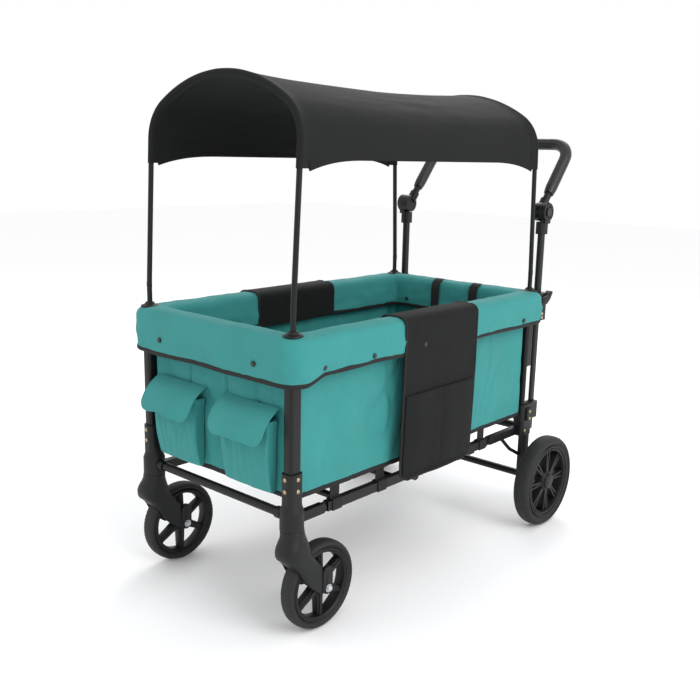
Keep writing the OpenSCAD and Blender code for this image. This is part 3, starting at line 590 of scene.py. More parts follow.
def cover_wobble(point, v):
    """Soft wrinkles of the padded cover, in metres: long ones along it and a few across."""
    x, y = point.x / MM, point.y / MM
    ridge = 1 - abs(crinkle(x / 70 + v, y / 70 - v, v * 4, 4)) * 5
    return (2.8 * crinkle(x / 95, y / 95, v * 5, 1) + 2.3 * crinkle(x / 38, y / 38, v * 9, 2)
            + 0.9 * crinkle(x / 17, y / 17, v * 14, 3) + 1.8 * max(0.0, ridge) ** 2) * MM


def hem_wave(point, seed):
    """The slight waves of a bound lower edge, in metres."""
    return (3.0 * crinkle(point.x / 0.11, point.y / 0.11, 0, seed)) * MM


def front_low(point):
    """The front U's lower edge is lower at the front."""
    share = ease((FRONT_PIN - 30 * MM - point.x) / (70 * MM))
    return lerp(side_low(point), COVER_LOW - 14 * MM, share)


def side_low(_point):
    """The lower edge of the sides and the rear U is level."""
    return COVER_LOW + 4 * MM


def cover_piece(name, stations, low_out):
    """A run of the padded cover along its stations, and the bindings of its lower edges."""
    last = len(stations) - 1

    def shape(u, v):
        outer, inner = stations[round(u * last)]
        bottom = low_out(outer) + hem_wave(outer, 1)
        bottom_in = COVER_LOW - 1 * MM + hem_wave(inner, 6)
        return cover_point(outer, inner, v, bottom, bottom_in, cover_wobble(outer.lerp(inner, v), v))

    skin = cloth(name, last, 34, shape, bpy.context.scene.wagon.cover_skin)
    section = [(a, b + 2.5 * MM) for a, b in oval(3.6 * MM, 6.2 * MM, 10)]
    bindings = [swept(f"{name}_binding_{tag}", [shape(i / last, end) for i in range(last + 1)], section)
                for end, tag in ((0.0, "outer"), (1.0, "inner"))]
    return skin, bindings


def side_stations(s):
    """Plan stations of a side run between the outer fold pins."""
    count = 66
    return [(Vector((lerp(FRONT_PIN, REAR_PIN, i / count), s * COVER_HALF_Y, 0)),
             Vector((lerp(FRONT_PIN, REAR_PIN, i / count), s * COVER_IN_Y, 0))) for i in range(count + 1)]


def squash_side(obj):
    """A piece between the outer fold pins gathers towards the rear one as the wagon folds."""
    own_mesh(obj)


STUD_Z, STUD_FACE_Y, STUD_FACE_Z = COVER_LOW + 19 * MM, 158 * MM, 596 * MM


def snap(name, centre, axis, body):
    """A black press stud with a small dome."""
    return placed(drum(name, centre, 6 * MM, 6 * MM, 2 * MM, axis, 32), "button_grey", body)


def build_rim_cover():
    """The padded teal cover around the top rim, its black bindings and press studs."""
    runs = [("front", cover_stations(FRONT_PIN, -1), "front_frame", front_low),
            ("rear", cover_stations(REAR_PIN, 1), "rear_frame", side_low)]
    runs += [(SIDES[s], side_stations(s), "rear_frame", side_low) for s in SIDES]
    for tag, stations, body, low_out in runs:
        skin, bindings = cover_piece(f"rim_cover_{tag}_skin", stations, low_out)
        placed(skin, "teal_fabric", body, f"rim_cover_{tag}")
        for strip in bindings:
            placed(strip, "webbing", body)
        if tag in SIDES.values():
            for piece in (skin, *bindings):
                squash_side(piece)
    for s, side in SIDES.items():
        y = s * (COVER_HALF_Y + STUD_OUT)
        for index, x in enumerate((-330, -150)):
            squash_side(snap(f"press_stud_{side}_{index}", (x * MM, y, STUD_Z), "Y", "rear_frame"))
        for tag, x in (("front", -486), ("rear", 286)):
            snap(f"press_stud_{tag}_{side}", (x * MM, y, STUD_Z), "Y", tag + "_frame")
        for tag, face, body in (("face", low("rim_cover_front").x, "front_frame"),
                                ("back", COVER_IN_X, "rear_frame")):
            snap(f"press_stud_{tag}_{side}", (face - STUD_OUT, s * STUD_FACE_Y, STUD_FACE_Z), "X", body)


# ---------- walls, floor and straps ----------

def wall_wrinkle(a, z, seed):
    """Wrinkles of a hanging wall: soft upright folds and a few fine ones, in metres."""
    lean = a + 0.35 * (z - WALL_LOW) * crinkle(a / 0.4, 0, 0, seed + 3)
    soft = 12 * crinkle(lean / 0.085, z / 0.26, 0, seed)
    ridge = 1 - abs(crinkle(lean / 0.06, z / 0.14, 0, seed + 1)) * 4
    return (soft + 7 * max(0.0, ridge) ** 2 + 1.2 * crinkle(a / 0.018, z / 0.03, 0, seed + 2)) * MM


def build_walls():
    """The teal walls of the tub with a black binding along each lower edge."""
    front_end, rear_end = low("side_panel_left").x, high("side_panel_left").x
    for s in SIDES:
        def side_shape(u, v, s=s):
            x, z = lerp(front_end, rear_end, u), lerp(WALL_LOW, WALL_TOP, v)
            slack = math.sin(math.pi * v) * math.sin(math.pi * u)
            return Vector((x, s * (WALL_Y - 3 * MM * slack) + wall_wrinkle(x, z, 10 + s) * (0.25 + slack), z))

        wall = cloth(f"side_wall_{SIDES[s]}", 130, 40, side_shape, 1.6 * MM)
        placed(wall, "teal_fabric", "rear_frame", f"side_panel_{SIDES[s]}")
        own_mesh(wall)
        path = [side_shape(i / 90, 0.0) for i in range(91)]
        strip = swept(f"side_wall_{SIDES[s]}_binding", path, oval(2.6 * MM, 6 * MM, 10))
        placed(strip, "webbing", "rear_frame")
        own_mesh(strip)
    for tag, node, out in (("front", "front_panel", -1), ("rear", "rear_panel", 1)):
        half, x0 = high(node).y, middle(node).x

        def end_shape(u, v, half=half, x0=x0, out=out):
            y, z = lerp(-half, half, u), lerp(WALL_LOW, WALL_TOP, v)
            slack = math.sin(math.pi * v) * math.sin(math.pi * u)
            wrinkle = wall_wrinkle(y, z, 20 + out) * (0.2 + slack)
            return Vector((x0 + out * (2.5 * MM * slack - 4 * MM) + wrinkle, y, z))

        wall = cloth(f"{tag}_wall", 70, 40, end_shape, 1.6 * MM)
        placed(wall, "teal_fabric", tag + "_frame", node)
        path = [end_shape(i / 60, 0.0) for i in range(61)]
        for s in SIDES:
            ends = [Vector((front_end if out < 0 else rear_end, s * (WALL_Y - 1 * MM), 0)),
                    Vector((x0 - out * 21 * MM, s * (half + 4 * MM), 0)), Vector((x0 - out * 4 * MM,
                                                                                  s * half, 0))]

            def wing(u, v, ends=ends):
                near, far = (ends[0], ends[1]) if u < 0.5 else (ends[1], ends[2])
                point = near.lerp(far, u * 2 if u < 0.5 else u * 2 - 1)
                point.z = lerp(WALL_LOW, WALL_TOP, v)
                return point

            corner = cloth(f"{tag}_wall_corner_{SIDES[s]}", 12, 20, wing, 1.6 * MM)
            placed(corner, "teal_fabric", tag + "_frame")
        strip = swept(f"{tag}_wall_binding", path, oval(2.6 * MM, 6 * MM, 10))
        placed(strip, "webbing", tag + "_frame")


def build_floor_mat():
    """The quilted mat on the floor boards, bending at the middle hinge."""
    box_low, box_high = low("floor_mat"), high("floor_mat")
    start_x, end_x = box_low.x + 26 * MM, REAR_PIN + 120 * MM
    half_y = box_high.y - 5 * MM
    corner = 16 * MM

    def shape_at(u, v, top):
        x, y = lerp(start_x, end_x, u), lerp(-half_y, half_y, v)
        edge = min(1.0, min(x - start_x, end_x - x, half_y - abs(y)) / corner + 0.02)
        quilt = abs(math.sin(math.pi * (x - MID_PIN) / (110 * MM))) ** 0.5
        puff = math.sin(0.5 * math.pi * edge) ** 0.6 * (0.55 + 0.45 * quilt)
        middle_z = (box_low.z + box_high.z) / 2
        return Vector((x, y, middle_z + top * 5.4 * MM * max(puff, 0.08)))

    sheets = []
    for top, tag in ((1, "upper"), (-1, "lower")):
        deselect()
        bpy.ops.mesh.primitive_grid_add(x_subdivisions=120, y_subdivisions=50, size=1)
        face = name_active("floor_mat_" + tag)
        for vertex in face.data.vertices:
            u, v = vertex.co.x + 0.5, vertex.co.y + 0.5
            vertex.co = shape_at(u, v, top if 0 < u < 1 and 0 < v < 1 else 0)
        sheets.append(face)
    mat = tidy_normals(join("floor_mat_pad", sheets), 0.0001)
    smooth(mat, 60)
    placed(mat, "teal_fabric", None, "floor_mat")
    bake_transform(mat)


def build_straps():
    """Two webbing straps over the rear rim."""
    for index, y0 in enumerate((low("rear_straps").y + 12.5 * MM, high("rear_straps").y - 12.5 * MM)):
        face_x = middle("rear_straps").x

        def shape(u, v, y0=y0, face_x=face_x):
            y = y0 + (u - 0.5) * 27 * MM
            if v < 0.62:
                return Vector((face_x - 5.5 * MM, y, lerp(582 * MM, COVER_TOP - ROUND_TOP, v / 0.62)))
            angle = math.pi * 0.5 * (v - 0.62) / 0.38
            return Vector((face_x - 5.5 * MM + 26 * MM * (1 - math.cos(angle)) ** 0.9, y,
                           COVER_TOP - ROUND_TOP + (ROUND_TOP + 5.5 * MM) * math.sin(angle) ** 0.7))

        strap = cloth(f"rear_strap_{index}", 6, 30, shape, 2.2 * MM)
        placed(strap, "webbing", "rear_frame", "rear_straps")


def build_organisers():
    """The black organiser over each side: an apron outside with a pouch, and a flap inside."""
    for s in SIDES:
        node = f"organiser_{SIDES[s]}"
        x0, x1, z0 = low(node).x, high(node).x, low(node).z
        outer_y, inner_y, top_z = COVER_HALF_Y + 5 * MM, COVER_IN_Y - 5.5 * MM, COVER_TOP + 4.5 * MM
        corner, rounding = 28 * MM, ROUND_TOP
        inner_z = COVER_LOW + 3 * MM
        drop = top_z - rounding - z0
        over = outer_y - inner_y
        inside = top_z - rounding - inner_z
        total = drop + over + 2 * rounding * 0.6 + inside

        def drape(x, t, lift, s=s, outer_y=outer_y, inner_y=inner_y, top_z=top_z):
            """The place t of the way along the cloth, from the outer lower edge to the inner one."""
            length = t * total
            if length < drop:
                y, z, out = outer_y, z0 + length, 1.0
            elif length > total - inside:
                y, z, out = inner_y, inner_z + total - length, -1.0
            else:
                angle = math.pi * (length - drop) / (total - drop - inside)
                side = math.copysign(abs(math.cos(angle)) ** 0.62, math.cos(angle))
                y = lerp(inner_y, outer_y, (side + 1) / 2)
                z, out = top_z - rounding + rounding * math.sin(angle) ** 0.62, 0.0
            low_part = ease(1 - length / drop) if length < drop else 0.0
            hang = (2.2 * crinkle(x / 0.08, z / 0.2, 0, 30 + s) * (0.2 + low_part)
                    + 0.8 * crinkle(x / 0.03, z / 0.05, 0, 31 + s)) * MM
            settle_in = low_part * 5 * MM
            return Vector((x, s * (y + out * (lift + hang) - max(out, 0) * settle_in),
                           z + (1 - abs(out)) * hang * 0.5))

        def apron(u, v, x0=x0, x1=x1):
            t = v
            x = lerp(x0, x1, u)
            length = t * total
            if length < corner:
                reach = math.sqrt(max(0.0, 1 - (1 - length / corner) ** 2))
                half = (x1 - x0) / 2
                x = (x0 + x1) / 2 + (u - 0.5) * 2 * (half - corner + corner * reach)
            return drape(x, t, 0.0)

        skin = cloth(f"organiser_{SIDES[s]}_cloth", 56, 90, apron, 2.4 * MM)
        placed(skin, "organiser_fabric", "rear_frame", node)
        squash_side(skin)
        pouch_top = (475 * MM - z0) / total

        def pouch(u, v, x0=x0, x1=x1):
            x = lerp(x0 + 7 * MM, x1 - 7 * MM, u)
            t = lerp(15 * MM / total, pouch_top, v)
            length = t * total
            if length < corner:
                reach = math.sqrt(max(0.0, 1 - (1 - length / corner) ** 2))
                x = (x0 + x1) / 2 + (u - 0.5) * 2 * ((x1 - x0) / 2 - 7 * MM - corner + corner * reach)
            gather = abs(math.sin(2 * math.pi * u)) ** 0.5
            bulge = (math.sin(math.pi * u) ** 0.4) * (0.35 + 0.65 * math.sin(math.pi * min(v * 0.8 + 0.1, 1)))
            return drape(x, t, 2.5 * MM + 7 * MM * bulge * (0.55 + 0.45 * gather))

        bag = cloth(f"organiser_{SIDES[s]}_pouch", 56, 50, pouch, 2 * MM)
        placed(bag, "organiser_fabric", "rear_frame")
        squash_side(bag)
        rim = [apron(0.0, i / 60) for i in range(60, -1, -1)] + [apron(i / 24, 0.0) for i in range(1, 25)]
        rim += [apron(1.0, i / 60) for i in range(1, 61)]
        edge = swept(f"organiser_{SIDES[s]}_binding", rim, oval(2.6 * MM, 2.6 * MM, 8), up=(0, 1, 0.013))
        placed(edge, "webbing", "rear_frame")
        squash_side(edge)
        hem = swept(f"organiser_{SIDES[s]}_pouch_hem", [pouch(i / 40, 1.0) for i in range(41)],
                    oval(2.2 * MM, 7 * MM, 10))
        placed(hem, "organiser_fabric", "rear_frame")
        squash_side(hem)


def build_pockets():
    """The two front pockets and the flap over each."""
    panel_x = middle("front_panel").x
    z0, z1 = low("front_pockets").z - 4 * MM, high("front_pockets").z - 10 * MM
    for s in SIDES:
        centre = s * 118 * MM
        half, depth = 76 * MM, 30 * MM

        def pocket(u, v, centre=centre, half=half, s=s):
            a = (u - 0.5) * 2
            side = math.copysign(min(1.0, abs(a) / 0.82), a)
            edge = max(0.0, (abs(a) - 0.82) / 0.18)
            height = 0.25 + 0.75 * math.sin(math.pi * min(0.5, v * 0.62 + 0.04)) ** 0.7
            front = depth * height * (1 - 0.16 * side * side) * (1 - edge ** 1.5)
            pucker = (5 * crinkle(a * 5, v * 1.2, 0, 40 + s) + 2.4 * crinkle(a * 13, v * 3.5, 0, 42 + s)) * MM
            z = lerp(z0, z1, v) - 8 * MM * (1 - side * side) * v
            return Vector((panel_x - 2 * MM - front - pucker * (1 - edge) * (0.35 + v),
                           centre + side * half * (0.95 + 0.05 * v), z))

        bag = cloth(f"front_pocket_{SIDES[s]}", 60, 36, pocket, 2 * MM)
        placed(bag, "teal_fabric", "front_frame", "front_pockets")
        hem = swept(f"front_pocket_{SIDES[s]}_hem", [pocket(i / 60, 1.0) for i in range(61)],
                    oval(2.4 * MM, 5 * MM, 8))
        placed(hem, "teal_fabric", "front_frame")
        hinge = JOINT_AT["flap_lift_" + SIDES[s]]
        width, length, corner = 168 * MM, 96 * MM, 24 * MM

        def flap(u, v, hinge=hinge, s=s, width=width, length=length, corner=corner):
            run = v * length
            left = length - run
            half = width / 2
            if left < corner:
                half = width / 2 - corner + corner * math.sqrt(max(0.0, 1 - (1 - left / corner) ** 2))
            y = (u - 0.5) * 2 * half
            lean = math.radians(lerp(66, 24, ease(v * 1.1)))
            out, down = 0.0, 0.0
            steps = 12
            for i in range(steps):
                part = math.radians(lerp(66, 24, ease((i + 0.5) / steps * v * 1.1)))
                out += math.sin(part) * run / steps
                down += math.cos(part) * run / steps
            crease = (5 * crinkle(y / 0.045, v * 1.4, 0, 50 + s) * v
                      + 1.0 * crinkle(y / 0.02, v * 4, 0, 52 + s)) * MM
            sag = 5 * MM * v * (abs(u - 0.5) * 2) ** 2
            return Vector((hinge.x - out - crease * math.cos(lean) + sag, hinge.y + y,
                           hinge.z + 4 * MM - down - crease * math.sin(lean) - sag))

        lid = cloth(f"front_flap_{SIDES[s]}", 56, 30, flap, 2.6 * MM)
        placed(lid, "teal_fabric", "flap_" + SIDES[s], "flap_" + SIDES[s])
        rim = [flap(0.0, i / 30) for i in range(31)] + [flap(i / 30, 1.0) for i in range(1, 31)]
        rim += [flap(1.0, i / 30) for i in range(29, -1, -1)]
        edge = swept(f"front_flap_{SIDES[s]}_binding", rim, oval(2.3 * MM, 2.3 * MM, 8), up=(1, 0.013, 0))
        placed(edge, "teal_fabric", "flap_" + SIDES[s])


# ---------- canopy ----------

SHOULDER_R, BOW_R, HOOP_TOP, HOOP_TUBE = 95 * MM, 360 * MM, 1178 * MM, 6 * MM
SHOULDER_Y = POST_Y - SHOULDER_R
BOW_ANGLE = math.degrees(math.asin(SHOULDER_Y / (BOW_R - SHOULDER_R)))
SHOULDER_Z = HOOP_TOP - BOW_R + (BOW_R - SHOULDER_R) * math.cos(math.radians(BOW_ANGLE))
CANOPY_LOW = low("canopy_fabric").z - 5 * MM
KINK_Z = 712 * MM
HOOP_LEAN = math.tan(math.radians(2.9))
HEM = 26 * MM


def hoop_path(share, low_z):
    """The place and outward normal a share of the way round a hoop, above low_z, as (y, z)."""
    leg = SHOULDER_Z - low_z
    bend = SHOULDER_R * math.radians(90 - BOW_ANGLE)
    bow = BOW_R * math.radians(2 * BOW_ANGLE)
    length = share * (2 * leg + 2 * bend + bow)
    side = 1
    if length > leg + bend + bow / 2:
        length, side = 2 * leg + 2 * bend + bow - length, -1
    if length < leg:
        return Vector((0, side * POST_Y, low_z + length)), Vector((0, side, 0))
    if length < leg + bend:
        angle = (length - leg) / SHOULDER_R
        normal = Vector((0, side * math.cos(angle), math.sin(angle)))
        return Vector((0, side * SHOULDER_Y, SHOULDER_Z)) + normal * SHOULDER_R, normal
    angle = math.radians(90 - BOW_ANGLE) + (length - leg - bend) / BOW_R
    normal = Vector((0, side * math.cos(angle), math.sin(angle)))
    return Vector((0, 0, HOOP_TOP - BOW_R)) + normal * BOW_R, normal


def hoop_x(z, front):
    """A hoop's X at a height; both lean inwards above their kink."""
    lean = max(0.0, z - KINK_Z) * HOOP_LEAN
    return FRONT_X + lean if front else REAR_X - lean


def build_canopy():
    """The charcoal canopy: a sewn sleeve round each hoop and the stretched sheet between them."""
    steps = 96
    for tag, front in (("front", True), ("rear", False)):
        inward = 1 if front else -1
        rings = []
        for i in range(steps + 1):
            place, normal = hoop_path(i / steps, CANOPY_LOW)
            pinch = 0.6 * MM * crinkle(place.y / 0.05, place.z / 0.05, 0, 60 + inward)
            radius = HOOP_TUBE + 1.6 * MM + max(0, pinch)
            centre = Vector((hoop_x(place.z, front), place.y, place.z))
            along = Vector((inward, 0, 0))
            ring = [centre + along * radius * math.cos(a) + normal * radius * math.sin(a)
                    for a in [math.radians(50 + 260 * k / 12) for k in range(13)]]
            tip = centre + along * (HEM + 0.8 * MM * crinkle(place.y / 0.03, place.z / 0.03, 0, 61))
            ring.append(tip - normal * 1.0 * MM + normal * 3 * MM)
            ring.append(tip + normal * 1.4 * MM + normal * 3 * MM)
            rings.append(ring)
        sleeve = lofted(f"canopy_sleeve_{tag}", rings)
        placed(sleeve, "canopy_fabric", "canopy_" + tag)

    def shape(u, v):
        span = 4 * u * (1 - u)
        low_z = CANOPY_LOW + 27 * MM * (1 - (1 - min(1.0, 7 * u * (1 - u) * 0.9)) ** 2) * 0.8
        place, normal = hoop_path(v, low_z)
        x = lerp(hoop_x(place.z, True) + HEM - 4 * MM, hoop_x(place.z, False) - HEM + 4 * MM, u)
        crown = math.sin(math.pi * v)
        corner_pull = math.exp(-((min(v, 1 - v) / 0.12) ** 2))
        drawn = crinkle((u - 0.5) * 3 + (v - 0.5) * 9, v * 26, 0, 62) * corner_pull * (1 - span * 0.5)
        ripple = 1.8 * crinkle(u * 3.2, v * 15, 0, 63) + 0.9 * crinkle(u * 9, v * 30, 0, 64)
        sag = 13 * MM * span * (0.55 + 0.45 * crown)
        lift = (ripple * span + 2.4 * drawn) * MM
        return Vector((x, place.y, place.z)) + normal * (3.2 * MM - sag + lift)

    sheet = cloth("canopy_cloth", 90, 130, shape, 1.8 * MM)
    placed(sheet, "canopy_fabric", "canopy_rear", "canopy_fabric")
    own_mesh(sheet)
    around = 2 * (SHOULDER_Z - CANOPY_LOW) + 2 * SHOULDER_R * math.radians(90 - BOW_ANGLE)
    around += BOW_R * math.radians(2 * BOW_ANGLE)
    for s, end in ((LEFT, 1.0), (RIGHT, 0.0)):
        path = [shape(i / 90, end) for i in range(91)]
        strip = swept(f"canopy_hem_{SIDES[s]}", path, oval(2.0 * MM, 6 * MM, 10))
        placed(strip, "canopy_fabric", "canopy_rear")
        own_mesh(strip)


# ---------- wheels ----------

def ring_profile(points):
    """Radius and width pairs given in mm as a profile in metres."""
    return [(radius * MM, y * MM) for radius, y in points]


def tyre_profile(radius, width, depth, crown):
    """A tyre's closed section: a domed tread, rounded shoulders, and walls down to the rim."""
    half = width / 2
    pts = [(radius - depth, -half * 0.66), (radius - depth * 0.62, -half * 0.9)]
    for i in range(17):
        a = math.pi * (i / 16 - 0.5)
        side = math.copysign(abs(math.sin(a)) ** 0.72, math.sin(a))
        pts.append((radius - crown * (1 - math.cos(a) ** 0.9), half * side))
    pts += [(radius - depth * 0.62, half * 0.9), (radius - depth, half * 0.66)]
    return pts


def slit(obj, centre, radius, width, count, depth):
    """Presses short slits into both shoulders of a tyre."""
    for vertex in obj.data.vertices:
        offset = vertex.co - centre
        reach = math.hypot(offset.x, offset.z)
        across = abs(offset.y) / (width / 2)
        if reach < radius * 0.93 or not 0.35 < across < 0.97:
            continue
        place = math.atan2(offset.z, offset.x) / (2 * math.pi) * count
        if abs(place - round(place)) < 0.17:
            scale = (reach - depth) / reach
            vertex.co = centre + Vector((offset.x * scale, offset.y, offset.z * scale))
    return obj


def spoke_set(name, centre, hub, rim, count, root, tip, half, bevel):
    """Tapering spokes between a hub and a rim."""
    outline = [(-root, hub), (-root * 0.82, lerp(hub, rim, 0.35)), (-tip, rim), (tip, rim),
               (root * 0.82, lerp(hub, rim, 0.35)), (root, hub)]
    spoke = plate(name + "_0", outline, -half, half, bevel)
    spoke.data.transform(Matrix.Translation(centre))
    spokes = [spoke]
    for i in range(1, count):
        spokes.append(copied(spoke, f"{name}_{i}", turn_y(360 * i / count, centre)))
    return join(name, spokes)


def build_front_wheel(s):
    """A front caster wheel: smooth tyre, deep rim lip, six tapering spokes and a stepped hub."""
    tag, hub = SIDES[s], HUB_FRONT[s]
    tyre = turned(f"front_wheel_tyre_{tag}", tyre_profile(FRONT_R, 37 * MM, 17 * MM, 9 * MM), hub, 240)
    slit(tyre, hub, FRONT_R, 37 * MM, 60, 0.9 * MM)
    placed(tyre, "tyre_rubber", f"front_wheel_{tag}", f"front_tyre_{tag}")
    rim = turned(f"front_wheel_rim_{tag}", ring_profile(
        [(84.5, -14), (84.5, 14), (81, 17.4), (78.6, 17.4), (77.4, 15), (73.5, 12.5), (72.3, 9), (72.3, -9),
         (73.5, -12.5), (77.4, -15), (78.6, -17.4), (81, -17.4)]), hub, 120)
    spokes = spoke_set(f"front_wheel_spokes_{tag}", hub, 18 * MM, 73.5 * MM, 6, 11 * MM, 7.5 * MM, 9 * MM,
                       2.4 * MM)
    spines = spoke_set(f"front_wheel_spines_{tag}", hub, 18 * MM, 73.5 * MM, 6, 4.6 * MM, 3.2 * MM, 11.6 * MM,
                       1.4 * MM)
    centre = turned(f"front_wheel_hub_{tag}", ring_profile(
        [(5.2, -17.5), (15, -17.5), (18, -15.5), (19.5, -11), (23, -8), (23, 8), (19.5, 11), (18, 15.5),
         (15, 17.5),
         (5.2, 17.5)]), hub, 64)
    wheel = join(f"front_wheel_body_{tag}", [rim, spokes, spines, centre])
    placed(wheel, "black_plastic", f"front_wheel_{tag}", f"front_wheel_{tag}")


def build_rear_wheel(s):
    """A rear wheel: rounded tyre with shoulder slits, double-lipped rim, eight ribbed spokes, hub cap."""
    tag, hub = SIDES[s], HUB_REAR[s]
    tyre = turned(f"rear_wheel_tyre_{tag}", tyre_profile(REAR_R, 47 * MM, 25 * MM, 15 * MM), hub, 288)
    slit(tyre, hub, REAR_R, 47 * MM, 72, 1.3 * MM)
    placed(tyre, "tyre_rubber", f"rear_wheel_{tag}", f"rear_tyre_{tag}")
    rim = turned(f"rear_wheel_rim_{tag}", ring_profile(
        [(104, -17), (104, 17), (101.5, 20.5), (98.5, 20.5), (97, 17), (94, 15.5), (92.5, 18), (89.5, 18),
         (88, 14), (87, 8), (87, -8), (88, -14), (89.5, -18), (92.5, -18), (94, -15.5), (97, -17),
         (98.5, -20.5), (101.5, -20.5)]), hub, 144)
    pieces = [rim]
    for index, shift in enumerate((-4.4, 4.4)):
        ribs = spoke_set(f"rear_wheel_ribs_{tag}_{index}", hub, 20 * MM, 89 * MM, 8, 3.6 * MM, 2.7 * MM,
                         13 * MM,
                         1.2 * MM)
        twist = Matrix.Translation(hub) @ Matrix.Rotation(math.radians(shift), 4,
                                                          "Y") @ Matrix.Translation(-hub)
        ribs.data.transform(twist)
        pieces.append(ribs)
    pieces.append(spoke_set(f"rear_wheel_webs_{tag}", hub, 20 * MM, 88.5 * MM, 8, 7 * MM, 7.6 * MM,
                            7 * MM, 1 * MM))
    pieces.append(turned(f"rear_wheel_hub_{tag}", ring_profile(
        [(13, -16.5), (24, -16.5), (27, -14), (29, -9), (29, 9), (27, 14), (24, 16.5), (13, 16.5)]), hub, 72))
    wheel = join(f"rear_wheel_body_{tag}", pieces)
    placed(wheel, "black_plastic", f"rear_wheel_{tag}", f"rear_wheel_{tag}")
    cap = turned(f"rear_hub_cap_{tag}", ring_profile(
        [(0, s * 15), (20.5, s * 15), (21.5, s * 17.5), (19.5, s * 21.5), (12, s * 23.6),
         (0, s * 24)]), hub, 64)
    placed(cap, "black_plastic", f"rear_wheel_{tag}")


def build_wheels():
    """All four wheels."""
    for s in SIDES:
        build_front_wheel(s)
        build_rear_wheel(s)


# ---------- caster forks ----------

FORK_LEVELS_MM = (  # height, front and rear reach from the swivel, half width, squareness
    (289, -5, 5, 5, 2), (274, -22, 22, 22, 2), (266, -25, 25, 25, 2), (249, -26, 26, 26, 2),
    (248, -25, 25, 25, 2), (246.5, -26.2, 26.2, 26.2, 2), (238, -26.6, 26.6, 26.6, 2), (230, -28.5, 28,
                                                                                        27.6, 2.1),
    (222, -32.5, 30, 29.2, 2.3), (214, -36.5, 32, 30.6, 2.5), (206, -38.5, 34, 31.6, 2.7), (198, -38, 35,
                                                                                            32, 2.8),
    (190, -35.5, 37, 32, 3.2), (184, -31, 40, 32, 3.6), (178, -23, 44, 32, 4), (170, -15, 49, 31.8, 4.6),
    (160, -8, 57, 31.6, 5.4), (150, -2, 63, 31.6, 6.4), (140, 5, 65, 31.6, 7), (130, 12, 65, 31.6, 7),
    (120, 20, 65, 31.6, 7), (110, 30, 65, 31.6, 7), (102, 41, 64, 31.4, 7), (97, 48, 62, 31, 7))


def build_forks():
    """The sculpted fork over each front wheel, with its suspension plates and axle bolts."""
    sides = 64
    for s in SIDES:
        tag, hub = SIDES[s], HUB_FRONT[s]
        rings = []
        for z, front, rear, half, square in FORK_LEVELS_MM:
            centre_y = lerp(s * POST_Y, hub.y, ease((262 - z) / 50))
            ring = []
            for k in range(sides):
                t = 2 * math.pi * k / sides
                a = math.copysign(abs(math.cos(t)) ** (2 / square), math.cos(t))
                b = math.copysign(abs(math.sin(t)) ** (2 / square), math.sin(t))
                ring.append(Vector((FRONT_X + ((front + rear) / 2 + (rear - front) / 2 * a) * MM,
                                    centre_y + half * MM * b, z * MM)))
            rings.append(ring)
        shell = lofted(f"fork_shell_{tag}", rings)
        room = drum(f"fork_wheel_room_{tag}", hub, FRONT_R + 7 * MM, 45 * MM, 5 * MM, sides=96)
        modify(shell, "BOOLEAN", object=room, operation="DIFFERENCE", solver="EXACT")
        bpy.data.objects.remove(room)
        tidy_normals(shell)
        smooth(shell, 32)
        placed(shell, "black_plastic", f"caster_{tag}", f"caster_fork_{tag}")
        plates, bolts = [], []
        for sy in SIDES:
            face = hub.y + sy * 24 * MM
            shape = arc((hub.x - 1 * MM, hub.z + 1 * MM), 15 * MM, 180, 360, 12)
            shape += arc((hub.x - 1 * MM, hub.z + 36 * MM), 15 * MM, 0, 180, 12)
            y0, y1 = sorted((face - sy * 1 * MM, face + sy * 9.6 * MM))
            plates.append(plate(f"fork_link_{tag}_{sy}", shape, y0, y1, 1.6 * MM))
            shape = arc((hub.x, hub.z + 12 * MM), 5 * MM, 180, 360, 8) + arc((hub.x, hub.z + 28 * MM),
                                                                             5 * MM, 0, 180, 8)
            y0, y1 = sorted((face + sy * 8 * MM, face + sy * 10.6 * MM))
            plates.append(plate(f"fork_slot_{tag}_{sy}", shape, y0, y1, 0.9 * MM))
            bolts.append(drum(f"fork_washer_{tag}_{sy}", hub + Vector((0, sy * 34.2 * MM, 0)), 9 * MM,
                              1.6 * MM, 0.4 * MM))
            bolts.append(drum(f"fork_bolt_{tag}_{sy}", hub + Vector((0, sy * 37 * MM, 0)), 6.8 * MM,
                              5 * MM, 1.6 * MM,
                              sides=24))
            bolts.append(drum(f"fork_bolt_head_{tag}_{sy}", hub + Vector((0, sy * 40 * MM, 0)), 4.6 * MM,
                              2.4 * MM,
                              0.8 * MM, sides=6))
        placed(join(f"fork_links_{tag}", plates), "black_plastic", f"caster_{tag}")
        axle = drum(f"fork_axle_{tag}", hub, 4.4 * MM, 74 * MM, 0.6 * MM, sides=24)
        metal = placed(join(f"fork_bolts_{tag}", bolts + [axle]), "rivet_brass", f"caster_{tag}")
        metal.data.materials[0] = FINISH["bright_zinc"]


# ---------- frame trim ----------

GRIP_R, GRIP_REACH, GRIP_BEND, GRIP_START, GRIP_ANGLE = 16 * MM, 237 * MM, 55 * MM, 62 * MM, 50.5
GRIP_ARM = POST_Y - 11.3 * MM
STITCH_PITCH, STITCH_HALF, STITCH_APART = 7 * MM, 1.7 * MM, 2.6 * MM


def grip_path(tilt, along):
    """The middle line of the padded grip, from one arm round the bow to the other."""
    straight, arm, bend = GRIP_REACH - GRIP_BEND, GRIP_ARM, GRIP_BEND
    points = [(lerp(GRIP_START, straight, i / 12), -arm) for i in range(13)]
    points += [(straight + bend * math.sin(math.radians(a)), -arm + bend - bend * math.cos(math.radians(a)))
               for a in range(6, 91, 6)]
    points += [(GRIP_REACH, lerp(-arm + bend, arm - bend, i / 50)) for i in range(1, 50)]
    points += [(straight + bend * math.cos(math.radians(a)), arm - bend + bend * math.sin(math.radians(a)))
               for a in range(0, 91, 6)]
    points += [(lerp(straight, GRIP_START, i / 12), arm) for i in range(1, 13)]
    return [Vector((tilt.x, 0, tilt.z)) + along * r + Vector((0, y, 0)) for r, y in points]


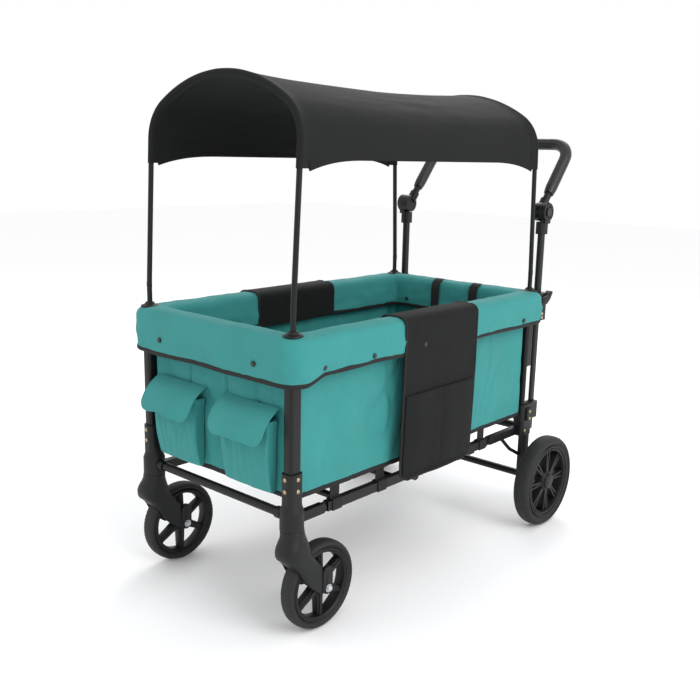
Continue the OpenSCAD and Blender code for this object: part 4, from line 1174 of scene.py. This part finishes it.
def build_grip_cover(path, face):
    """The leatherette tube over the grip, with a seam along the inner side and pinched ends."""
    rings = []
    for i, point in enumerate(path):
        ahead = (path[min(i + 1, len(path) - 1)] - path[max(i - 1, 0)]).normalized()
        across = ahead.cross(face).normalized()
        end = min(i, len(path) - 1 - i)
        radius = GRIP_R if end > 1 else 15 * MM if end else 13.6 * MM
        ring = []
        for k in range(28):
            t = 2 * math.pi * k / 28
            relief = 0.25 * MM * crinkle(i * 0.6, k * 0.35, 0, 70) - (0 if k else 1 * MM)
            ring.append(point + (face * -math.cos(t) + across * math.sin(t)) * (radius + relief))
        rings.append(ring)
    cover = lofted("handle_grip_cover", rings)
    placed(cover, "grip_leather", "handle_upper", "handle_grip")


def build_stitches(path, face):
    """Short threads on both sides of the grip's seam, modelled once and copied."""
    def frame_at(point, ahead):
        columns = Matrix((ahead, ahead.cross(face), -face)).transposed().to_4x4()
        return Matrix.Translation(point) @ columns

    places = []
    walked, target = 0.0, 6 * MM
    for a, b in zip(path, path[1:]):
        step = (b - a).length
        ahead = (b - a).normalized()
        across = ahead.cross(face).normalized()
        while target < walked + step:
            seam = a.lerp(b, (target - walked) / step) - face * 15.7 * MM
            places += [frame_at(seam + across * side * STITCH_APART, ahead) for side in (-1, 1)]
            target += STITCH_PITCH
        walked += step
    rings = [[(x * STITCH_HALF, w * MM * math.cos(math.radians(60 * k)),
               (z + w * math.sin(math.radians(60 * k))) * MM) for k in range(6)]
             for x, z, w in ((-1, -0.5, 0.3), (-0.5, 0.3, 0.55), (0.5, 0.3, 0.55), (1, -0.5, 0.3))]
    base = lofted("handle_stitch", rings)
    pieces = [copied(base, f"handle_stitch_{i}", place) for i, place in enumerate(places)]
    bpy.data.objects.remove(base)
    placed(join("handle_stitching", pieces), "webbing", "handle_upper")


def build_handle_trim():
    """Stitched leatherette grip, and a moulded ring on each hinge disc."""
    tilt = JOINT_AT["handle_tilt"]
    angle = math.radians(GRIP_ANGLE)
    along = Vector((math.cos(angle), 0, math.sin(angle)))
    face = Vector((0, 1, 0)).cross(along)
    path = grip_path(tilt, along)
    build_grip_cover(path, face)
    build_stitches(path, face)
    for s in SIDES:
        ring = turned(f"handle_disc_{SIDES[s]}", ring_profile(
            [(15.5, s * -0.6), (24.4, s * -0.6), (25.4, s * 0.4), (25.4, s * 1.2), (24.2, s * 2.2),
             (20, s * 2.6), (17.4, s * 2.0), (15.5, s * 1.0)]), Vector((tilt.x, s * 253.3 * MM, tilt.z)), 72)
        placed(ring, "black_plastic", "handle_lower")


def build_brackets():
    """Pole caps at the four corners and the latch levers at the rear."""
    for s, side in SIDES.items():
        for tag, x in (("front", FRONT_X), ("rear", REAR_X)):
            cap = turned_z(f"pole_cap_{tag}_{side}", [(6.9, 659), (20.5, 659), (21.5, 661), (20.5, 663.4),
                                                      (13, 666), (9.5, 671), (6.9, 672)], (x, s * POST_Y))
            placed(cap, "black_plastic", tag + "_frame")
        outline = ring_profile([(404, 618), (430, 622), (446, 634), (458, 652), (455, 657), (449, 656),
                                (436, 645), (404, 642)])
        lever = plate(f"latch_lever_{side}", outline, *sorted((s * 246 * MM, s * 266 * MM)), 3 * MM)
        placed(lever, "black_plastic", "rear_frame")


def turned_z(name, profile_mm, place):
    """A closed profile of (radius, z) points in mm spun about an upright axis at (x, y)."""
    obj = turned(name, [(radius * MM, -z * MM) for radius, z in profile_mm], Vector((0, 0, 0)), 64)
    obj.data.transform(Matrix.Translation((place[0], place[1], 0)) @ Matrix.Rotation(math.radians(-90), 4,
                                                                                     "X"))
    return tidy_normals(obj)


def build_labels():
    """One blank label on a rear post."""
    front_face = low("rear_posts")
    label = block("rear_post_label", (REAR_X - 9 * MM, front_face.y - 0.5 * MM, 352 * MM),
                  (REAR_X + 9 * MM, front_face.y + 0.4 * MM, 452 * MM), 0.15 * MM)
    placed(label, "button_grey", "rear_frame")
    label.data.materials[0] = FINISH["label_white"]


# ---------- stage ----------

CAMERA_AT = Vector((-1.74974, -1.46567, 1.01711))
CAMERA_YAW, CAMERA_PITCH, CAMERA_ROLL, CAMERA_LENS = 41.529, -12.497, 1.246, 45.34


def build_stage():
    """The camera, a plain pale floor and soft studio light."""
    yaw, pitch, roll = (math.radians(v) for v in (CAMERA_YAW, CAMERA_PITCH, CAMERA_ROLL))
    ahead = Vector((math.cos(pitch) * math.cos(yaw), math.cos(pitch) * math.sin(yaw), math.sin(pitch)))
    right = ahead.cross(Vector((0, 0, 1))).normalized()
    up = right.cross(ahead)
    turned_right = right * math.cos(roll) + up * math.sin(roll)
    turned_up = up * math.cos(roll) - right * math.sin(roll)
    deselect()
    bpy.ops.object.camera_add(location=CAMERA_AT)
    camera = name_active("camera")
    camera.matrix_world = Matrix((turned_right, turned_up, -ahead)).transposed().to_4x4()
    camera.matrix_world.translation = CAMERA_AT
    camera.data.lens = CAMERA_LENS
    bpy.context.scene.camera = camera
    deselect()
    bpy.ops.mesh.primitive_plane_add(size=24)
    floor = name_active("stage_floor")
    floor.location.z = -0.5 * MM
    floor.data.materials.append(FINISH["stage"])
    bpy.context.scene.view_settings.view_transform = "Standard"
    world = bpy.data.worlds.new("studio")
    bpy.context.scene.world = world
    world.use_nodes = True
    world.node_tree.nodes["Background"].inputs["Color"].default_value = (*linear("#ffffff"), 1)
    world.node_tree.nodes["Background"].inputs["Strength"].default_value = 1.0
    for name, place, size, power in (("key_light", (-0.4, -3.3, 2.6), 2.6, 72),
                                     ("fill_light", (-3.2, 1.4, 2.4), 3.0, 10),
                                     ("back_light", (2.6, 1.4, 2.8), 2.4, 45)):
        deselect()
        bpy.ops.object.light_add(type="AREA", location=place)
        light = name_active(name)
        light.data.shape = "DISK"
        light.data.size = size
        light.data.energy = power
        light.rotation_euler = (Vector((0, 0, 0.5)) - Vector(place)).to_track_quat("-Z", "Y").to_euler()


# ---------- the add-on ----------

class WagonSettings(bpy.types.PropertyGroup):
    """The wagon's colours and the thickness of its rim cover."""

    cloth: FloatVectorProperty(name="Tub cloth",
                               description="Colour of the tub, rim cover, pockets and flaps",
                               subtype="COLOR", size=3, min=0, max=1, default=linear("#328c8a"))
    canopy: FloatVectorProperty(name="Canopy cloth", description="Colour of the canopy", subtype="COLOR",
                                size=3,
                                min=0, max=1, default=linear("#1b1c1d"))
    cover_skin: FloatProperty(name="Cover thickness", description="Thickness of the padded rim cover",
                              default=0.004, min=0.002, max=0.006, unit="LENGTH")


def to_code(colour):
    """An sRGB hex code from linear RGB."""
    channels = [c * 12.92 if c <= 0.0031308 else 1.055 * c ** (1 / 2.4) - 0.055 for c in colour]
    return "#" + "".join(f"{round(255 * min(max(c, 0), 1)):02x}" for c in channels)


def start_materials():
    """Makes the finishes from the settings and gives the frame its own."""
    settings = bpy.context.scene.wagon
    FINISH.clear()
    FINISH.update(make_materials({"cloth": to_code(settings.cloth), "canopy": to_code(settings.canopy)}))
    finish_frame_nodes()


STEPS = (
    ("materials", "Finishes", start_materials),
    ("rim_cover", "Rim cover", build_rim_cover),
    ("walls", "Walls", build_walls),
    ("floor_mat", "Floor mat", build_floor_mat),
    ("straps", "Rear straps", build_straps),
    ("organisers", "Organisers", build_organisers),
    ("pockets", "Front pockets and flaps", build_pockets),
    ("canopy", "Canopy", build_canopy),
    ("wheels", "Wheels", build_wheels),
    ("forks", "Caster forks", build_forks),
    ("handle", "Handle trim", build_handle_trim),
    ("brackets", "Brackets and caps", build_brackets),
    ("labels", "Blank labels", build_labels),
    ("stage", "Stage", build_stage),
)


def operator_for(key, label, build):
    """An operator class that runs one build step."""
    def execute(self, _context):
        build()
        return {"FINISHED"}

    return type(f"WAGON_OT_{key}", (bpy.types.Operator,), {
        "__doc__": build.__doc__, "bl_idname": f"wagon.{key}", "bl_label": label, "execute": execute})


OPERATORS = [operator_for(*step) for step in STEPS]


class WAGON_PT_panel(bpy.types.Panel):
    """Lists the colours and the build steps."""

    bl_label = "Folding push wagon"
    bl_idname = "WAGON_PT_panel"
    bl_space_type = "VIEW_3D"
    bl_region_type = "UI"
    bl_category = "Wagon"

    def draw(self, context):
        """Draws the settings and a button for each step."""
        for prop in ("cloth", "canopy", "cover_skin"):
            self.layout.prop(context.scene.wagon, prop)
        for key, _label, _build in STEPS:
            self.layout.operator(f"wagon.{key}")


CLASSES = [WagonSettings, *OPERATORS, WAGON_PT_panel]


def register():
    """Registers the add-on."""
    for cls in CLASSES:
        bpy.utils.register_class(cls)
    bpy.types.Scene.wagon = PointerProperty(type=WagonSettings)


def unregister():
    """Removes the add-on."""
    del bpy.types.Scene.wagon
    for cls in reversed(CLASSES):
        bpy.utils.unregister_class(cls)


def main():
    """Builds the wagon and writes down its size."""
    register()
    for key, _label, _build in STEPS:
        getattr(bpy.ops.wagon, key)()


if __name__ == "__main__":
    main()
